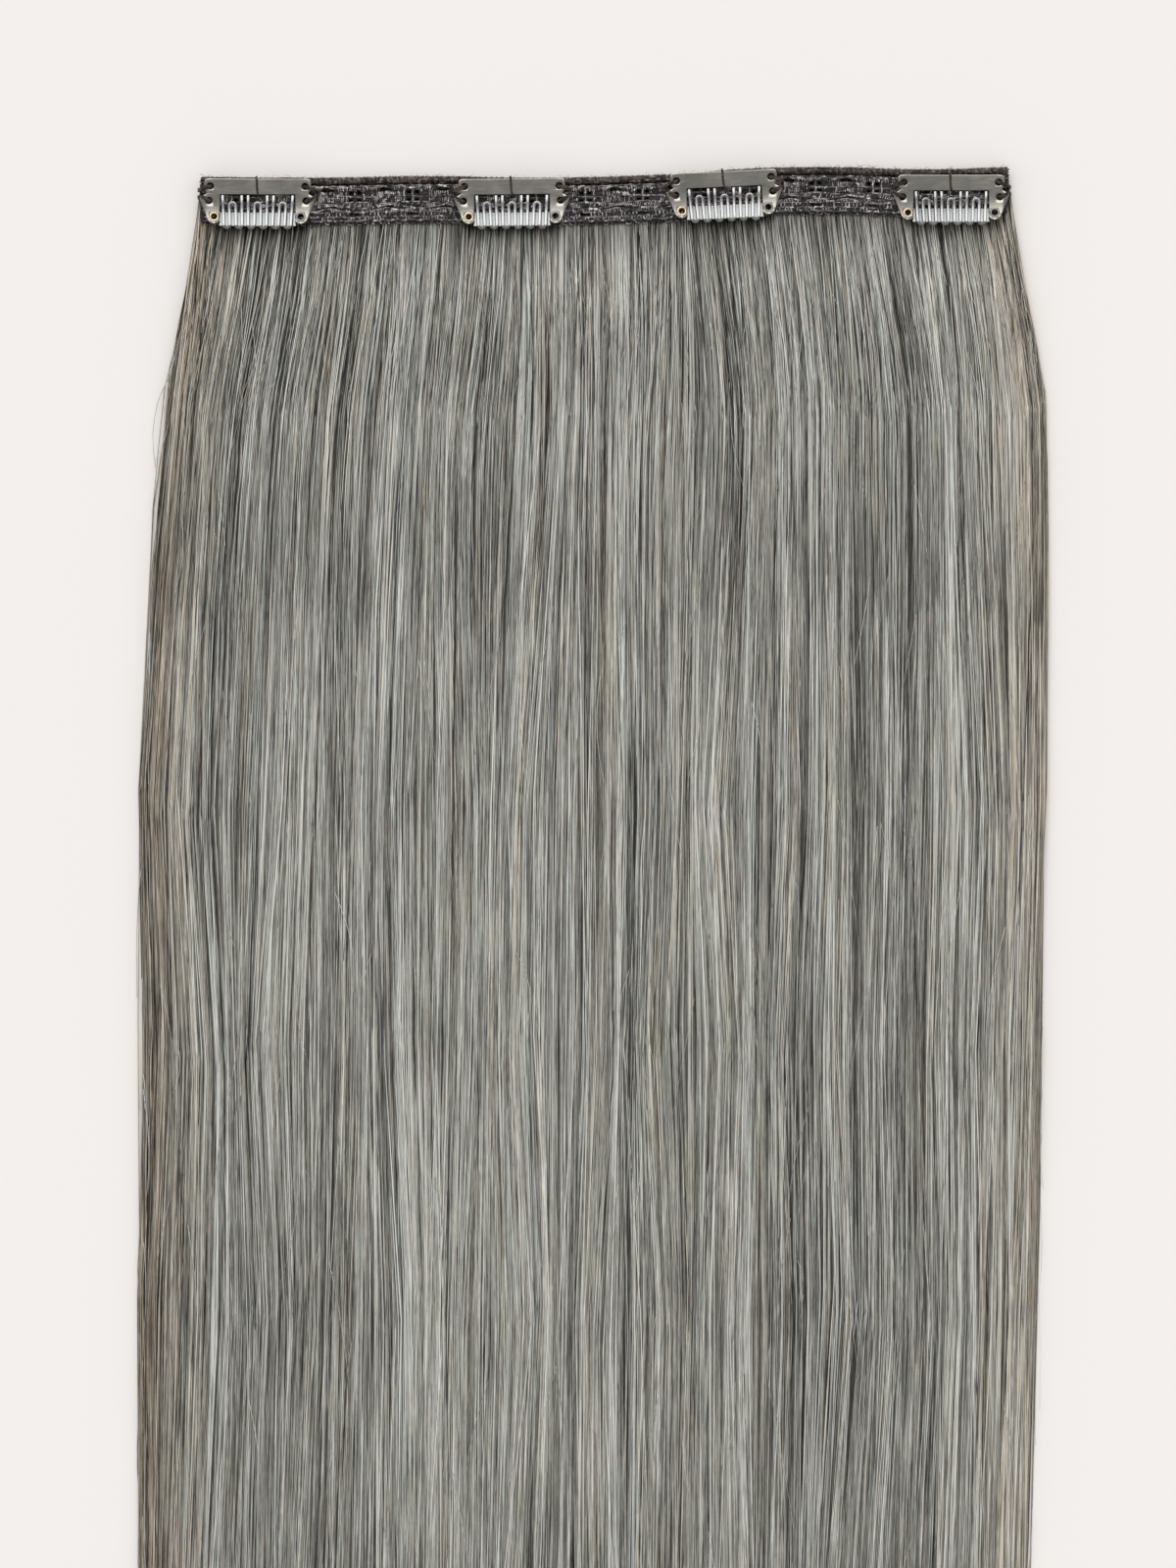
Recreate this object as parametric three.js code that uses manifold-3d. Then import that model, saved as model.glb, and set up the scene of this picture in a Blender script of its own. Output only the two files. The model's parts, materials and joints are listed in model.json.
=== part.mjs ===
// A clip-in hair weft, lying face up as it does on a table: a fall of straight hair under a rolled seam
// and a pierced lace band, with four snap clips sewn along the band.
// +X runs along the band, +Y points from the hair's ends to the band, and +Z is up, on the clips' side.
// The origin is at the middle of the base of the whole weft. Lengths are in millimetres.
import * as THREE from "three";
import Module from "manifold-3d";
import { mergeVertices } from "three/addons/utils/BufferGeometryUtils.js";

// Weft and hair
const BAND_LENGTH = 223.6;
const BAND_WIDTH = 12.7; // seam and lace together
const BAND_SAG = 3.0; // how far the band's wave drops below its highest point
const WEFT_LENGTH = 500; // top of the seam to the longest hair
const FLARE_LEFT = 17.4; // how far the hair spreads past the band's left end
const FLARE_RIGHT = 10.8;
const HAIR_THICKNESS = 7.0;
const ROOT_THICKNESS = 2.9; // hair under the lace
const LOCK_COUNT = 20;
const LOCK_RIDGE = 0.9; // height of a lock's crown over the valley beside it
const RIM_SHARE = 0.2; // thickness left at the two long edges, as a share
const TIP_SPLIT = 26; // how deep the ends part between two locks
const TIP_RAGGED = 12; // how unequal the locks are in length

// Seam and lace
const SEAM_WIDTH = 2.1;
const SEAM_HEIGHT = 4.1;
const LACE_WALL = 1.0;
const LACE_REPEATS = 14;
const LACE_EDGE = 0.9; // plain selvedge at the two ends of the lace together
const CLEARANCE = 0.3; // between soft pieces that lie on each other

// Snap clips
const CLIP_WIDTH = 32; // over the tips of its two ears
const PLATE_WALL = 0.55;
const PLATE_TOP = 10.5; // eyelet line to the plate's top edge
const PLATE_FOOT = 2.0; // eyelet line to the end of a leg
const BAR_HEIGHT = 4.3; // plain bar above the comb
const SHOULDER_INSET = 1.25; // ear tip to the end of the top edge, along the clip
const NOTCH_INSET = 2.1; // ear tip to the notch that the thread lies in
const EAR_RISE = 0.8; // lower sewing hole to the ear tip, up the plate
const CORNER_ROUND = 1.3; // at the ends of the top edge and of the legs
const EDGE_ROUND = 0.5; // at the other corners
const SEW_HOLE_RADIUS = 1.0;
const SEW_HOLE_UPPER = { inset: 2.9, y: 8.4 };
const SEW_HOLE_LOWER = { inset: 2.55, y: 4.4 };
const PLATE_BOW_RADIUS = 200; // the clip's bend along its length
const CURL_START = 5; // the clip curls up below this height over the eyelet line
const CURL_RADIUS = 36;
const CLIP_SEAT = 0.1; // lace to the clip
const STRIP_WALL = 0.5;
const STRIP_UP = 1.25; // eyelet line to the grip strip's upper edge
const STRIP_DOWN = 2.55; // and to its lower edge
const STRIP_GAP = 0.25; // grip strip to plate
const EYELET_INSET = 4.05; // ear tip to the eyelet's middle, along the clip
const EYELET_BORE = 0.75;
const EYELET_BARREL = 0.95;
const EYELET_FLANGE = 1.4;
const EYELET_FLANGE_WALL = 0.25;
const EYELET_GAP = 0.1;
const HOLE_SIDES = 8;
const TINE_WIDTH = 0.85;
const TINE_WALL = 0.5;
const LEG_INNER = 1.55; // eyelet's middle to the leg's inner edge
const COMB_SIDE_GAP = 0.3; // leg to the outer tine
const COMB_TAPER = 0.943; // the tines' spacing at the foot, as a share of that at the roots
const TINE_FOOT = 3.6; // eyelet line to the lowest point of the comb
const ARCH_TOP = 4.3; // eyelet line to the top of an arch
const ROOT_GAP = 0.15; // comb root to plate
const CRANK_RISE = 0.3; // the tines step up just below their roots
const CRANK_RUN = 1.3; // length of that step
const COMB_LOOPS = ["left", "middle", "right"];
const TINES_PER_LOOP = 4;

// The band's wave. along: share of the band's length; drop: share of BAND_SAG.
const BAND_WAVE = [
  { along: 0.0, drop: 0.9 },
  { along: 0.14, drop: 1.0 },
  { along: 0.28, drop: 0.82 },
  { along: 0.43, drop: 1.0 },
  { along: 0.6, drop: 0.6 },
  { along: 0.68, drop: 0.12 },
  { along: 0.79, drop: 0.0 },
  { along: 0.89, drop: 0.22 },
  { along: 1.0, drop: 0.0 },
];

// The hair's sections. down: share of WEFT_LENGTH; left and right: shares of FLARE_LEFT and FLARE_RIGHT;
// crown: share of the way from ROOT_THICKNESS to HAIR_THICKNESS, below nought where the ends thin out;
// loose: from nought where the hair follows the band to one where its locks lie free.
const HAIR_SECTIONS = [
  { down: 0.0048, left: 0.0, right: 0.0, crown: 0.0, loose: 0.0 },
  { down: 0.027, left: 0.03, right: 0.06, crown: 0.0, loose: 0.0 },
  { down: 0.042, left: 0.11, right: 0.2, crown: 0.2, loose: 0.15 },
  { down: 0.07, left: 0.24, right: 0.45, crown: 0.48, loose: 0.45 },
  { down: 0.098, left: 0.41, right: 0.7, crown: 0.68, loose: 0.75 },
  { down: 0.125, left: 0.58, right: 0.9, crown: 0.82, loose: 1.0 },
  { down: 0.18, left: 0.75, right: 0.97, crown: 0.95, loose: 1.0 },
  { down: 0.29, left: 0.905, right: 0.99, crown: 1.0, loose: 1.0 },
  { down: 0.4, left: 1.0, right: 1.0, crown: 1.0, loose: 1.0 },
  { down: 0.56, left: 0.95, right: 0.95, crown: 0.9, loose: 1.0 },
  { down: 0.72, left: 0.99, right: 0.74, crown: 0.68, loose: 1.0 },
  { down: 0.86, left: 0.93, right: 0.55, crown: 0.3, loose: 1.0 },
  { down: 1.0, left: 0.62, right: 0.2, crown: -0.45, loose: 1.0 },
];

// One repeat of the lace. along and wide: shares of the repeat; down and tall: shares of BAND_WIDTH.
const LACE_HOLES = [
  { along: 0.2, down: 0.28, wide: 0.2, tall: 0.095 },
  { along: 0.6, down: 0.35, wide: 0.075, tall: 0.085 },
  { along: 0.74, down: 0.35, wide: 0.075, tall: 0.085 },
  { along: 0.6, down: 0.53, wide: 0.075, tall: 0.085 },
  { along: 0.74, down: 0.53, wide: 0.075, tall: 0.085 },
  { along: 0.24, down: 0.63, wide: 0.19, tall: 0.09 },
  { along: 0.67, down: 0.82, wide: 0.17, tall: 0.07 },
];

// The clips. along: share of the way from the left end clip to the right end clip;
// down: band's top edge to the eyelet line, as a share of BAND_WIDTH; tilt: degrees.
const CLIPS = [
  { along: 0.0, down: 0.88, tilt: -0.3 },
  { along: 0.367, down: 0.875, tilt: 0.6 },
  { along: 0.674, down: 0.875, tilt: 2.6 },
  { along: 1.0, down: 0.98, tilt: 0.0 },
];

const BAND_LEFT = (FLARE_LEFT - FLARE_RIGHT - BAND_LENGTH) / 2;
const TOP = WEFT_LENGTH / 2;
const LACE_FACE = ROOT_THICKNESS + CLEARANCE + LACE_WALL;
const EAR_TIP = CLIP_WIDTH / 2;
const EYELET_HALF = EAR_TIP - EYELET_INSET;
const WINDOW_HALF = EYELET_HALF - LEG_INNER;
const WINDOW_TOP = PLATE_TOP - BAR_HEIGHT;
const PLATE_LEVEL = STRIP_WALL + STRIP_GAP; // underside of the plate at its middle
const COMB_LEVEL = PLATE_LEVEL + PLATE_WALL / 2;
const COMB_ROOT = WINDOW_TOP - ROOT_GAP - TINE_WALL / 2;

const STEEL = { color: 0x77756f, roughness: 0.38, metalness: 0.9 };
const MATERIALS = {
  hair: new THREE.MeshStandardMaterial({ color: 0x8f9089, roughness: 0.55, metalness: 0 }),
  seam: new THREE.MeshStandardMaterial({ color: 0x2b2422, roughness: 0.9, metalness: 0 }),
  lace: new THREE.MeshStandardMaterial({ color: 0x4c4547, roughness: 0.9, metalness: 0 }),
  plate: new THREE.MeshStandardMaterial(STEEL),
  comb: new THREE.MeshStandardMaterial({ ...STEEL, color: 0x8d8d89 }),
  strip: new THREE.MeshStandardMaterial({ ...STEEL, color: 0xc4c6c6, roughness: 0.25 }),
  grey: new THREE.MeshStandardMaterial({ ...STEEL, color: 0x63625f }),
  brass: new THREE.MeshStandardMaterial({ color: 0xd9bd93, roughness: 0.3, metalness: 1 }),
};

// A column of a table at one place, on a smooth curve through its rows.
function smoothColumn(rows, key, column, at) {
  const last = rows.length - 1;
  let i = rows.findIndex((row) => row[key] > at) - 1;
  if (i < 0) i = at < rows[0][key] ? 0 : last - 1;
  const slope = (k) => {
    const a = rows[Math.max(k - 1, 0)];
    const b = rows[Math.min(k + 1, last)];
    return (b[column] - a[column]) / (b[key] - a[key]);
  };
  const span = rows[i + 1][key] - rows[i][key];
  const t = THREE.MathUtils.clamp((at - rows[i][key]) / span, 0, 1);
  const ease = t * t * (3 - 2 * t);
  const turn = slope(i) * t * (1 - t) ** 2 - slope(i + 1) * t * t * (1 - t);
  return rows[i][column] * (1 - ease) + rows[i + 1][column] * ease + span * turn;
}

// The place, along Y, of the band's top edge at x.
function bandTop(x) {
  const drop = smoothColumn(BAND_WAVE, "along", "drop", (x - BAND_LEFT) / BAND_LENGTH);
  return TOP - BAND_SAG * Math.max(0, drop);
}

// A closed solid from rings of points, each joined to the next. A ring runs over the top from left to
// right, as seen along the row of rings, and then back underneath.
function loftRings(rings) {
  const count = rings[0].length;
  const index = [];
  const quad = (a, b, c, d) => index.push(a, b, c, a, c, d);
  for (let r = 0; r + 1 < rings.length; r++)
    for (let k = 0; k < count; k++) {
      const next = (k + 1) % count;
      quad(r * count + k, r * count + next, (r + 1) * count + next, (r + 1) * count + k);
    }
  const far = (rings.length - 1) * count;
  for (let k = 0; k + 1 < count / 2; k++) {
    const under = count - 1 - k;
    quad(k, under, under - 1, k + 1);
    quad(far + k, far + k + 1, far + under - 1, far + under);
  }
  const points = rings.flat().flatMap((p) => [p.x, p.y, p.z]);
  const geometry = new THREE.BufferGeometry();
  geometry.setAttribute("position", new THREE.Float32BufferAttribute(points, 3));
  geometry.setIndex(index);
  return geometry;
}

const wasm = await Module();
wasm.setup();

function toManifold(geometry) {
  const bare = geometry.clone();
  bare.deleteAttribute("normal");
  bare.deleteAttribute("uv");
  const merged = mergeVertices(bare, 1e-4);
  return new wasm.Manifold(
    new wasm.Mesh({
      numProp: 3,
      vertProperties: new Float32Array(merged.getAttribute("position").array),
      triVerts: new Uint32Array(merged.index.array),
    }),
  );
}

// A geometry with others cut out of it.
function cutBy(geometry, cutters) {
  const mesh = toManifold(geometry).subtract(wasm.Manifold.union(cutters.map(toManifold))).getMesh();
  const result = new THREE.BufferGeometry();
  result.setAttribute("position", new THREE.BufferAttribute(new Float32Array(mesh.vertProperties), 3));
  result.setIndex(new THREE.BufferAttribute(new Uint32Array(mesh.triVerts), 1));
  return result;
}

// A flat sheet cut to a shape, from z = 0 up to its wall.
function sheetOf(shape, wall, curveSegments) {
  const geometry = new THREE.ExtrudeGeometry(shape, { depth: wall, bevelEnabled: false, curveSegments });
  geometry.deleteAttribute("normal");
  geometry.deleteAttribute("uv");
  return mergeVertices(geometry, 1e-4);
}

// Splits a geometry's triangles where they cross given places along one axis, so that it can be bent.
function sliced(geometry, axis, places) {
  const position = geometry.toNonIndexed().getAttribute("position");
  let triangles = [];
  for (let i = 0; i < position.count; i += 3)
    triangles.push([0, 1, 2].map((k) => new THREE.Vector3().fromBufferAttribute(position, i + k)));
  for (const place of places) {
    const next = [];
    for (const triangle of triangles) {
      const side = triangle.map((p) => Math.sign(p[axis] - place));
      if (!side.includes(1) || !side.includes(-1)) {
        next.push(triangle);
        continue;
      }
      const above = [];
      const below = [];
      triangle.forEach((p, k) => {
        const q = triangle[(k + 1) % 3];
        if (side[k] >= 0) above.push(p);
        if (side[k] <= 0) below.push(p);
        if (side[k] * side[(k + 1) % 3] < 0) {
          const [low, high] = side[k] < 0 ? [p, q] : [q, p];
          const cut = low.clone().lerp(high, (place - low[axis]) / (high[axis] - low[axis]));
          above.push(cut);
          below.push(cut);
        }
      });
      for (const loop of [above, below])
        for (let k = 1; k + 1 < loop.length; k++) next.push([loop[0], loop[k], loop[k + 1]]);
    }
    triangles = next;
  }
  return mergeVertices(new THREE.BufferGeometry().setFromPoints(triangles.flat()), 1e-4);
}

// Moves every point of a geometry up by rise(x, y).
function pressed(geometry, rise) {
  const position = geometry.getAttribute("position");
  for (let i = 0; i < position.count; i++)
    position.setZ(i, position.getZ(i) + rise(position.getX(i), position.getY(i)));
  return geometry;
}

// A closed outline with rounded corners, from the corners { x, y, round } of its right half, top to
// bottom, and their mirror images.
function mirroredShape(half) {
  const corners = [...half.map((corner) => ({ ...corner, x: -corner.x })), ...[...half].reverse()];
  const count = corners.length;
  const towards = (from, to) => {
    const a = new THREE.Vector2(from.x, from.y);
    const b = new THREE.Vector2(to.x, to.y);
    return a.clone().lerp(b, Math.min(0.45, from.round / a.distanceTo(b)));
  };
  const shape = new THREE.Shape();
  corners.forEach((corner, i) => {
    const arrive = towards(corner, corners[(i + count - 1) % count]);
    const leave = towards(corner, corners[(i + 1) % count]);
    if (i === 0) shape.moveTo(arrive.x, arrive.y);
    else shape.lineTo(arrive.x, arrive.y);
    shape.quadraticCurveTo(corner.x, corner.y, leave.x, leave.y);
  });
  shape.closePath();
  return shape;
}

function roundHole(x, y, radius) {
  const points = [];
  for (let k = 0; k < HOLE_SIDES; k++) {
    const angle = (-(k + 0.3) * 2 * Math.PI) / HOLE_SIDES;
    points.push(new THREE.Vector2(x + radius * Math.cos(angle), y + radius * Math.sin(angle)));
  }
  return new THREE.Path(points);
}

function named(name, geometry, material) {
  const mesh = new THREE.Mesh(geometry, material);
  mesh.name = name;
  return mesh;
}

// The hair: locks fused side by side, flat beneath and crowned above. In the last ring the middle of each
// lock reaches further than its sides, so that the ends part.
function hairFall() {
  const columns = 2 * LOCK_COUNT;
  const last = HAIR_SECTIONS.length - 1;
  const rings = HAIR_SECTIONS.map((row, r) => {
    const left = BAND_LEFT - FLARE_LEFT * row.left;
    const right = BAND_LEFT + BAND_LENGTH + FLARE_RIGHT * row.right;
    const crown = THREE.MathUtils.lerp(ROOT_THICKNESS, HAIR_THICKNESS, row.crown);
    const over = [];
    const under = [];
    for (let c = columns; c >= 0; c--) {
      const share = c / columns;
      const x = THREE.MathUtils.lerp(left, right, share);
      const lock = Math.floor(c / 2);
      const middle = c % 2 === 1;
      const round = RIM_SHARE + (1 - RIM_SHARE) * Math.sqrt(1 - Math.abs(2 * share - 1) ** 6);
      const rim = THREE.MathUtils.lerp(1, round, row.loose);
      const uneven = 0.5 + 0.5 * Math.sin(2.4 * lock + 5 * row.down);
      const ridge = row.loose * LOCK_RIDGE * (middle ? uneven - 0.5 : -0.5);
      let y = THREE.MathUtils.lerp(bandTop(x), TOP, row.loose) - WEFT_LENGTH * row.down;
      if (r === last && middle) y += TIP_RAGGED * (0.5 - 0.5 * Math.cos(2.1 * (lock - LOCK_COUNT / 2)));
      if (r === last && !middle) y += TIP_SPLIT;
      over.push({ x, y, z: rim * (crown + ridge) });
      under.unshift({ x, y, z: 0 });
    }
    return [...over, ...under];
  });
  return named("hair_fall", loftRings(rings), MATERIALS.hair);
}

// The rolled seam that carries the hair: a flattened roll along the band's top edge.
function weftSeam() {
  const steps = 26;
  const sides = 8;
  const swell = 1 / Math.cos(Math.PI / sides);
  const rings = [];
  for (let s = 0; s <= steps; s++) {
    const x = BAND_LEFT + (BAND_LENGTH * s) / steps;
    const middle = bandTop(x) - SEAM_WIDTH / 2;
    const ring = [];
    for (let k = 0; k < sides; k++) {
      const angle = ((k + 0.5) * 2 * Math.PI) / sides;
      const y = middle + (SEAM_WIDTH / 2) * swell * Math.cos(angle);
      ring.push({ x, y, z: (SEAM_HEIGHT / 2) * (1 + swell * Math.sin(angle)) });
    }
    rings.push(ring);
  }
  return named("weft_seam", loftRings(rings), MATERIALS.seam);
}

// The lace: a ribbon over the hair's roots, below the seam, cut through by a repeating pattern.
function laceBand() {
  const steps = 30;
  const start = BAND_LEFT + LACE_EDGE / 2;
  const length = BAND_LENGTH - LACE_EDGE;
  const floor = ROOT_THICKNESS + CLEARANCE;
  const rings = [];
  for (let s = 0; s <= steps; s++) {
    const x = start + (length * s) / steps;
    const top = bandTop(x) - SEAM_WIDTH - CLEARANCE;
    const foot = bandTop(x) - BAND_WIDTH;
    rings.push([
      { x, y: top, z: floor + LACE_WALL },
      { x, y: foot, z: floor + LACE_WALL },
      { x, y: foot, z: floor },
      { x, y: top, z: floor },
    ]);
  }
  const repeat = length / LACE_REPEATS;
  const cutters = [];
  for (let r = 0; r < LACE_REPEATS; r++)
    for (const hole of LACE_HOLES) {
      const x = start + repeat * (r + hole.along);
      const cutter = new THREE.BoxGeometry(repeat * hole.wide, BAND_WIDTH * hole.tall, 2 * LACE_WALL);
      cutter.translate(x, bandTop(x) - BAND_WIDTH * hole.down, floor + LACE_WALL / 2);
      cutters.push(cutter);
    }
  return named("lace_band", cutBy(loftRings(rings), cutters), MATERIALS.lace);
}

// How a clip's sheets are bent: a slight bow along the clip, and a curl up towards its foot.
const bow = (x) => (x * x) / (2 * PLATE_BOW_RADIUS);
const curl = (y) => Math.max(0, CURL_START - y) ** 2 / (2 * CURL_RADIUS);

function bent(geometry, level) {
  const across = [-CLIP_WIDTH / 5, CLIP_WIDTH / 5];
  const up = [CURL_START, (CURL_START - PLATE_FOOT) / 2];
  return pressed(sliced(sliced(geometry, "x", across), "y", up), (x, y) => level + bow(x) + curl(y));
}

function eyeletHoles(shape) {
  for (const side of [-1, 1])
    shape.holes.push(roundHole(side * EYELET_HALF, 0, EYELET_BARREL + EYELET_GAP));
}

// The stamped plate: a bar with two legs, pierced for the sewing thread and the eyelets.
function clipPlate() {
  const shape = mirroredShape([
    { x: EAR_TIP - SHOULDER_INSET, y: PLATE_TOP, round: CORNER_ROUND },
    { x: EAR_TIP - SHOULDER_INSET, y: SEW_HOLE_UPPER.y - SEW_HOLE_RADIUS, round: EDGE_ROUND },
    { x: EAR_TIP - NOTCH_INSET, y: (SEW_HOLE_UPPER.y + SEW_HOLE_LOWER.y) / 2, round: EDGE_ROUND },
    { x: EAR_TIP + EDGE_ROUND / 4, y: SEW_HOLE_LOWER.y + EAR_RISE, round: EDGE_ROUND },
    { x: EYELET_HALF + EYELET_FLANGE, y: -PLATE_FOOT, round: CORNER_ROUND },
    { x: WINDOW_HALF, y: -PLATE_FOOT, round: CORNER_ROUND },
    { x: WINDOW_HALF, y: WINDOW_TOP, round: EDGE_ROUND / 2 },
  ]);
  for (const side of [-1, 1])
    for (const hole of [SEW_HOLE_UPPER, SEW_HOLE_LOWER])
      shape.holes.push(roundHole(side * (EAR_TIP - hole.inset), hole.y, SEW_HOLE_RADIUS));
  eyeletHoles(shape);
  return bent(sheetOf(shape, PLATE_WALL, 3), PLATE_LEVEL);
}

// The grip strip behind the comb, held by the eyelets at its two ends.
function gripStrip() {
  const end = EYELET_HALF + EYELET_FLANGE;
  const shape = mirroredShape([
    { x: end, y: STRIP_UP, round: STRIP_UP / 2 },
    { x: end, y: -STRIP_UP, round: STRIP_UP / 2 },
    { x: WINDOW_HALF + COMB_SIDE_GAP / 2, y: -STRIP_UP, round: EDGE_ROUND / 2 },
    { x: WINDOW_HALF + COMB_SIDE_GAP, y: -STRIP_DOWN, round: EDGE_ROUND / 2 },
  ]);
  eyeletHoles(shape);
  return bent(sheetOf(shape, STRIP_WALL, 3), 0);
}

// A hollow eyelet at one end: a barrel through strip and plate with a flange on each side.
function eyelet(side) {
  const low = -EYELET_GAP - EYELET_FLANGE_WALL;
  const high = PLATE_LEVEL + PLATE_WALL + EYELET_GAP;
  const profile = [
    [EYELET_BORE, low],
    [EYELET_FLANGE, low],
    [EYELET_FLANGE, low + EYELET_FLANGE_WALL],
    [EYELET_BARREL, low + EYELET_FLANGE_WALL],
    [EYELET_BARREL, high],
    [EYELET_FLANGE, high],
    [EYELET_FLANGE - EYELET_FLANGE_WALL, high + EYELET_FLANGE_WALL],
    [EYELET_BORE, high + EYELET_FLANGE_WALL],
    [EYELET_BORE, low],
  ].map(([radius, z]) => new THREE.Vector2(radius, z));
  const geometry = new THREE.LatheGeometry(profile, 9);
  geometry.deleteAttribute("normal");
  geometry.deleteAttribute("uv");
  geometry.rotateX(Math.PI / 2);
  geometry.translate(side * EYELET_HALF, 0, 0);
  return pressed(mergeVertices(geometry, 1e-4), (x, y) => bow(x) + curl(y));
}

// One loop of the comb: four tines joined by a lobe at the foot, an arch, and another lobe. The first and
// last tine end in a root rounded about the line on which the comb turns.
function combLoop(loop) {
  const centre = (COMB_LOOPS.length * TINES_PER_LOOP - 1) / 2;
  const rootPitch = (WINDOW_HALF - COMB_SIDE_GAP - TINE_WIDTH / 2) / centre;
  const footPitch = rootPitch * COMB_TAPER;
  const full = TINE_WALL / 2;
  const tineX = (tine, y) => {
    const share = (y + TINE_FOOT) / (COMB_ROOT + TINE_FOOT);
    return (loop * TINES_PER_LOOP + tine - centre) * THREE.MathUtils.lerp(footPitch, rootPitch, share);
  };
  const turn = footPitch / 2;
  const lobeY = -TINE_FOOT + TINE_WIDTH / 2 + turn;
  const archY = ARCH_TOP - TINE_WIDTH / 2 - turn;
  const middleY = (lobeY + archY) / 2;
  const straight = (tine, heights) => heights.map((y) => ({ x: tineX(tine, y), y, thick: full }));
  const halfTurn = (tine, y, way) => {
    const from = tineX(tine, y);
    const to = tineX(tine + 1, y);
    return [0, 45, 90, 135, 180].map((degrees) => {
      const angle = THREE.MathUtils.degToRad(degrees);
      const x = (from + to) / 2 - ((to - from) / 2) * Math.cos(angle);
      return { x, y: y + way * turn * Math.sin(angle), thick: full };
    });
  };
  const root = (tine) => [
    { x: tineX(tine, COMB_ROOT), y: COMB_ROOT + full, thick: 0.03 },
    { x: tineX(tine, COMB_ROOT), y: COMB_ROOT + full * 0.71, thick: full * 0.71 },
    ...straight(tine, [COMB_ROOT, COMB_ROOT - CRANK_RUN / 2, COMB_ROOT - CRANK_RUN, middleY]),
  ];
  const route = [
    ...root(0),
    ...halfTurn(0, lobeY, -1),
    ...straight(1, [middleY]),
    ...halfTurn(1, archY, 1),
    ...straight(2, [middleY]),
    ...halfTurn(2, lobeY, -1),
    ...root(3).reverse(),
  ];
  const rings = route.map((p, i) => {
    const before = route[Math.max(i - 1, 0)];
    const after = route[Math.min(i + 1, route.length - 1)];
    const length = Math.hypot(after.x - before.x, after.y - before.y);
    const sideX = (-(after.y - before.y) / length) * (TINE_WIDTH / 2);
    const sideY = ((after.x - before.x) / length) * (TINE_WIDTH / 2);
    return [
      { x: p.x + sideX, y: p.y + sideY, z: p.thick },
      { x: p.x - sideX, y: p.y - sideY, z: p.thick },
      { x: p.x - sideX, y: p.y - sideY, z: -p.thick },
      { x: p.x + sideX, y: p.y + sideY, z: -p.thick },
    ];
  });
  return pressed(loftRings(rings), (x, y) => {
    const step = THREE.MathUtils.smoothstep(COMB_ROOT - y, 0, CRANK_RUN);
    return COMB_LEVEL + bow(x) + curl(y) + CRANK_RISE * step;
  });
}

// A whole clip, with its eyelet line at the group's origin.
function snapClip(number, place) {
  const name = `clip_${number}`;
  const clip = new THREE.Group();
  clip.name = name;
  clip.add(named(`${name}_plate`, clipPlate(), MATERIALS.plate));
  clip.add(named(`${name}_grip_strip`, gripStrip(), MATERIALS.strip));
  clip.add(named(`${name}_eyelet_left`, eyelet(-1), MATERIALS.brass));
  clip.add(named(`${name}_eyelet_right`, eyelet(1), MATERIALS.grey));
  const comb = new THREE.Group();
  comb.name = `${name}_comb`;
  COMB_LOOPS.forEach((side, loop) => comb.add(named(`${name}_comb_${side}`, combLoop(loop), MATERIALS.comb)));
  clip.add(comb);
  const firstX = BAND_LEFT + CLIP_WIDTH / 2;
  const lastX = BAND_LEFT + BAND_LENGTH - CLIP_WIDTH / 2;
  const x = THREE.MathUtils.lerp(firstX, lastX, place.along);
  clip.position.set(x, bandTop(x) - BAND_WIDTH * place.down, LACE_FACE + CLIP_SEAT);
  clip.rotation.z = THREE.MathUtils.degToRad(place.tilt);
  return clip;
}

const group = new THREE.Group();
group.name = "clip_in_weft";

const hair = new THREE.Group();
hair.name = "hair";
hair.add(hairFall(), weftSeam(), laceBand());
group.add(hair);

const clips = new THREE.Group();
clips.name = "clips";
CLIPS.forEach((place, i) => clips.add(snapClip(i + 1, place)));
group.add(clips);

export default group;
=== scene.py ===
"""A clip-in hair weft lying face up on a pale table: straight silver-grey hair under a rolled seam and a
lace band, with four snap clips sewn along the band. Lengths are in millimetres until a mesh is made."""

import json
import math

import bmesh
import bpy
import numpy as np
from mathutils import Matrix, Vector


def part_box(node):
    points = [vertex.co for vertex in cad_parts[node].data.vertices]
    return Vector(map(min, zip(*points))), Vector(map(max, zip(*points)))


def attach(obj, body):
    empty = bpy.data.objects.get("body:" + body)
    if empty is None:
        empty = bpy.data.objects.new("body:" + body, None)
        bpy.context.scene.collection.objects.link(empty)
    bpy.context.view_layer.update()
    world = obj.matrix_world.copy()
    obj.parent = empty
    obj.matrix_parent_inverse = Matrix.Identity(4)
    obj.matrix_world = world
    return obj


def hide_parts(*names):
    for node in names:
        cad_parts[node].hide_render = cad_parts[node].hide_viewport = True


MM = 0.001
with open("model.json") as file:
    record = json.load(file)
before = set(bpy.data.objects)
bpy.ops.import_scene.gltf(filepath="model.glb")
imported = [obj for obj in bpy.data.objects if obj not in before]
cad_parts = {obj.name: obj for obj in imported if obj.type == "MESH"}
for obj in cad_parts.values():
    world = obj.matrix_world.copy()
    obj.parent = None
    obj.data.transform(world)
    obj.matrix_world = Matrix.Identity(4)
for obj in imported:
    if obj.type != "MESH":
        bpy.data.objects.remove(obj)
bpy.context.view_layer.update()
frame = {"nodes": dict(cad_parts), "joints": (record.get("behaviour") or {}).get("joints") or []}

ROOT = "weft"

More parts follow.
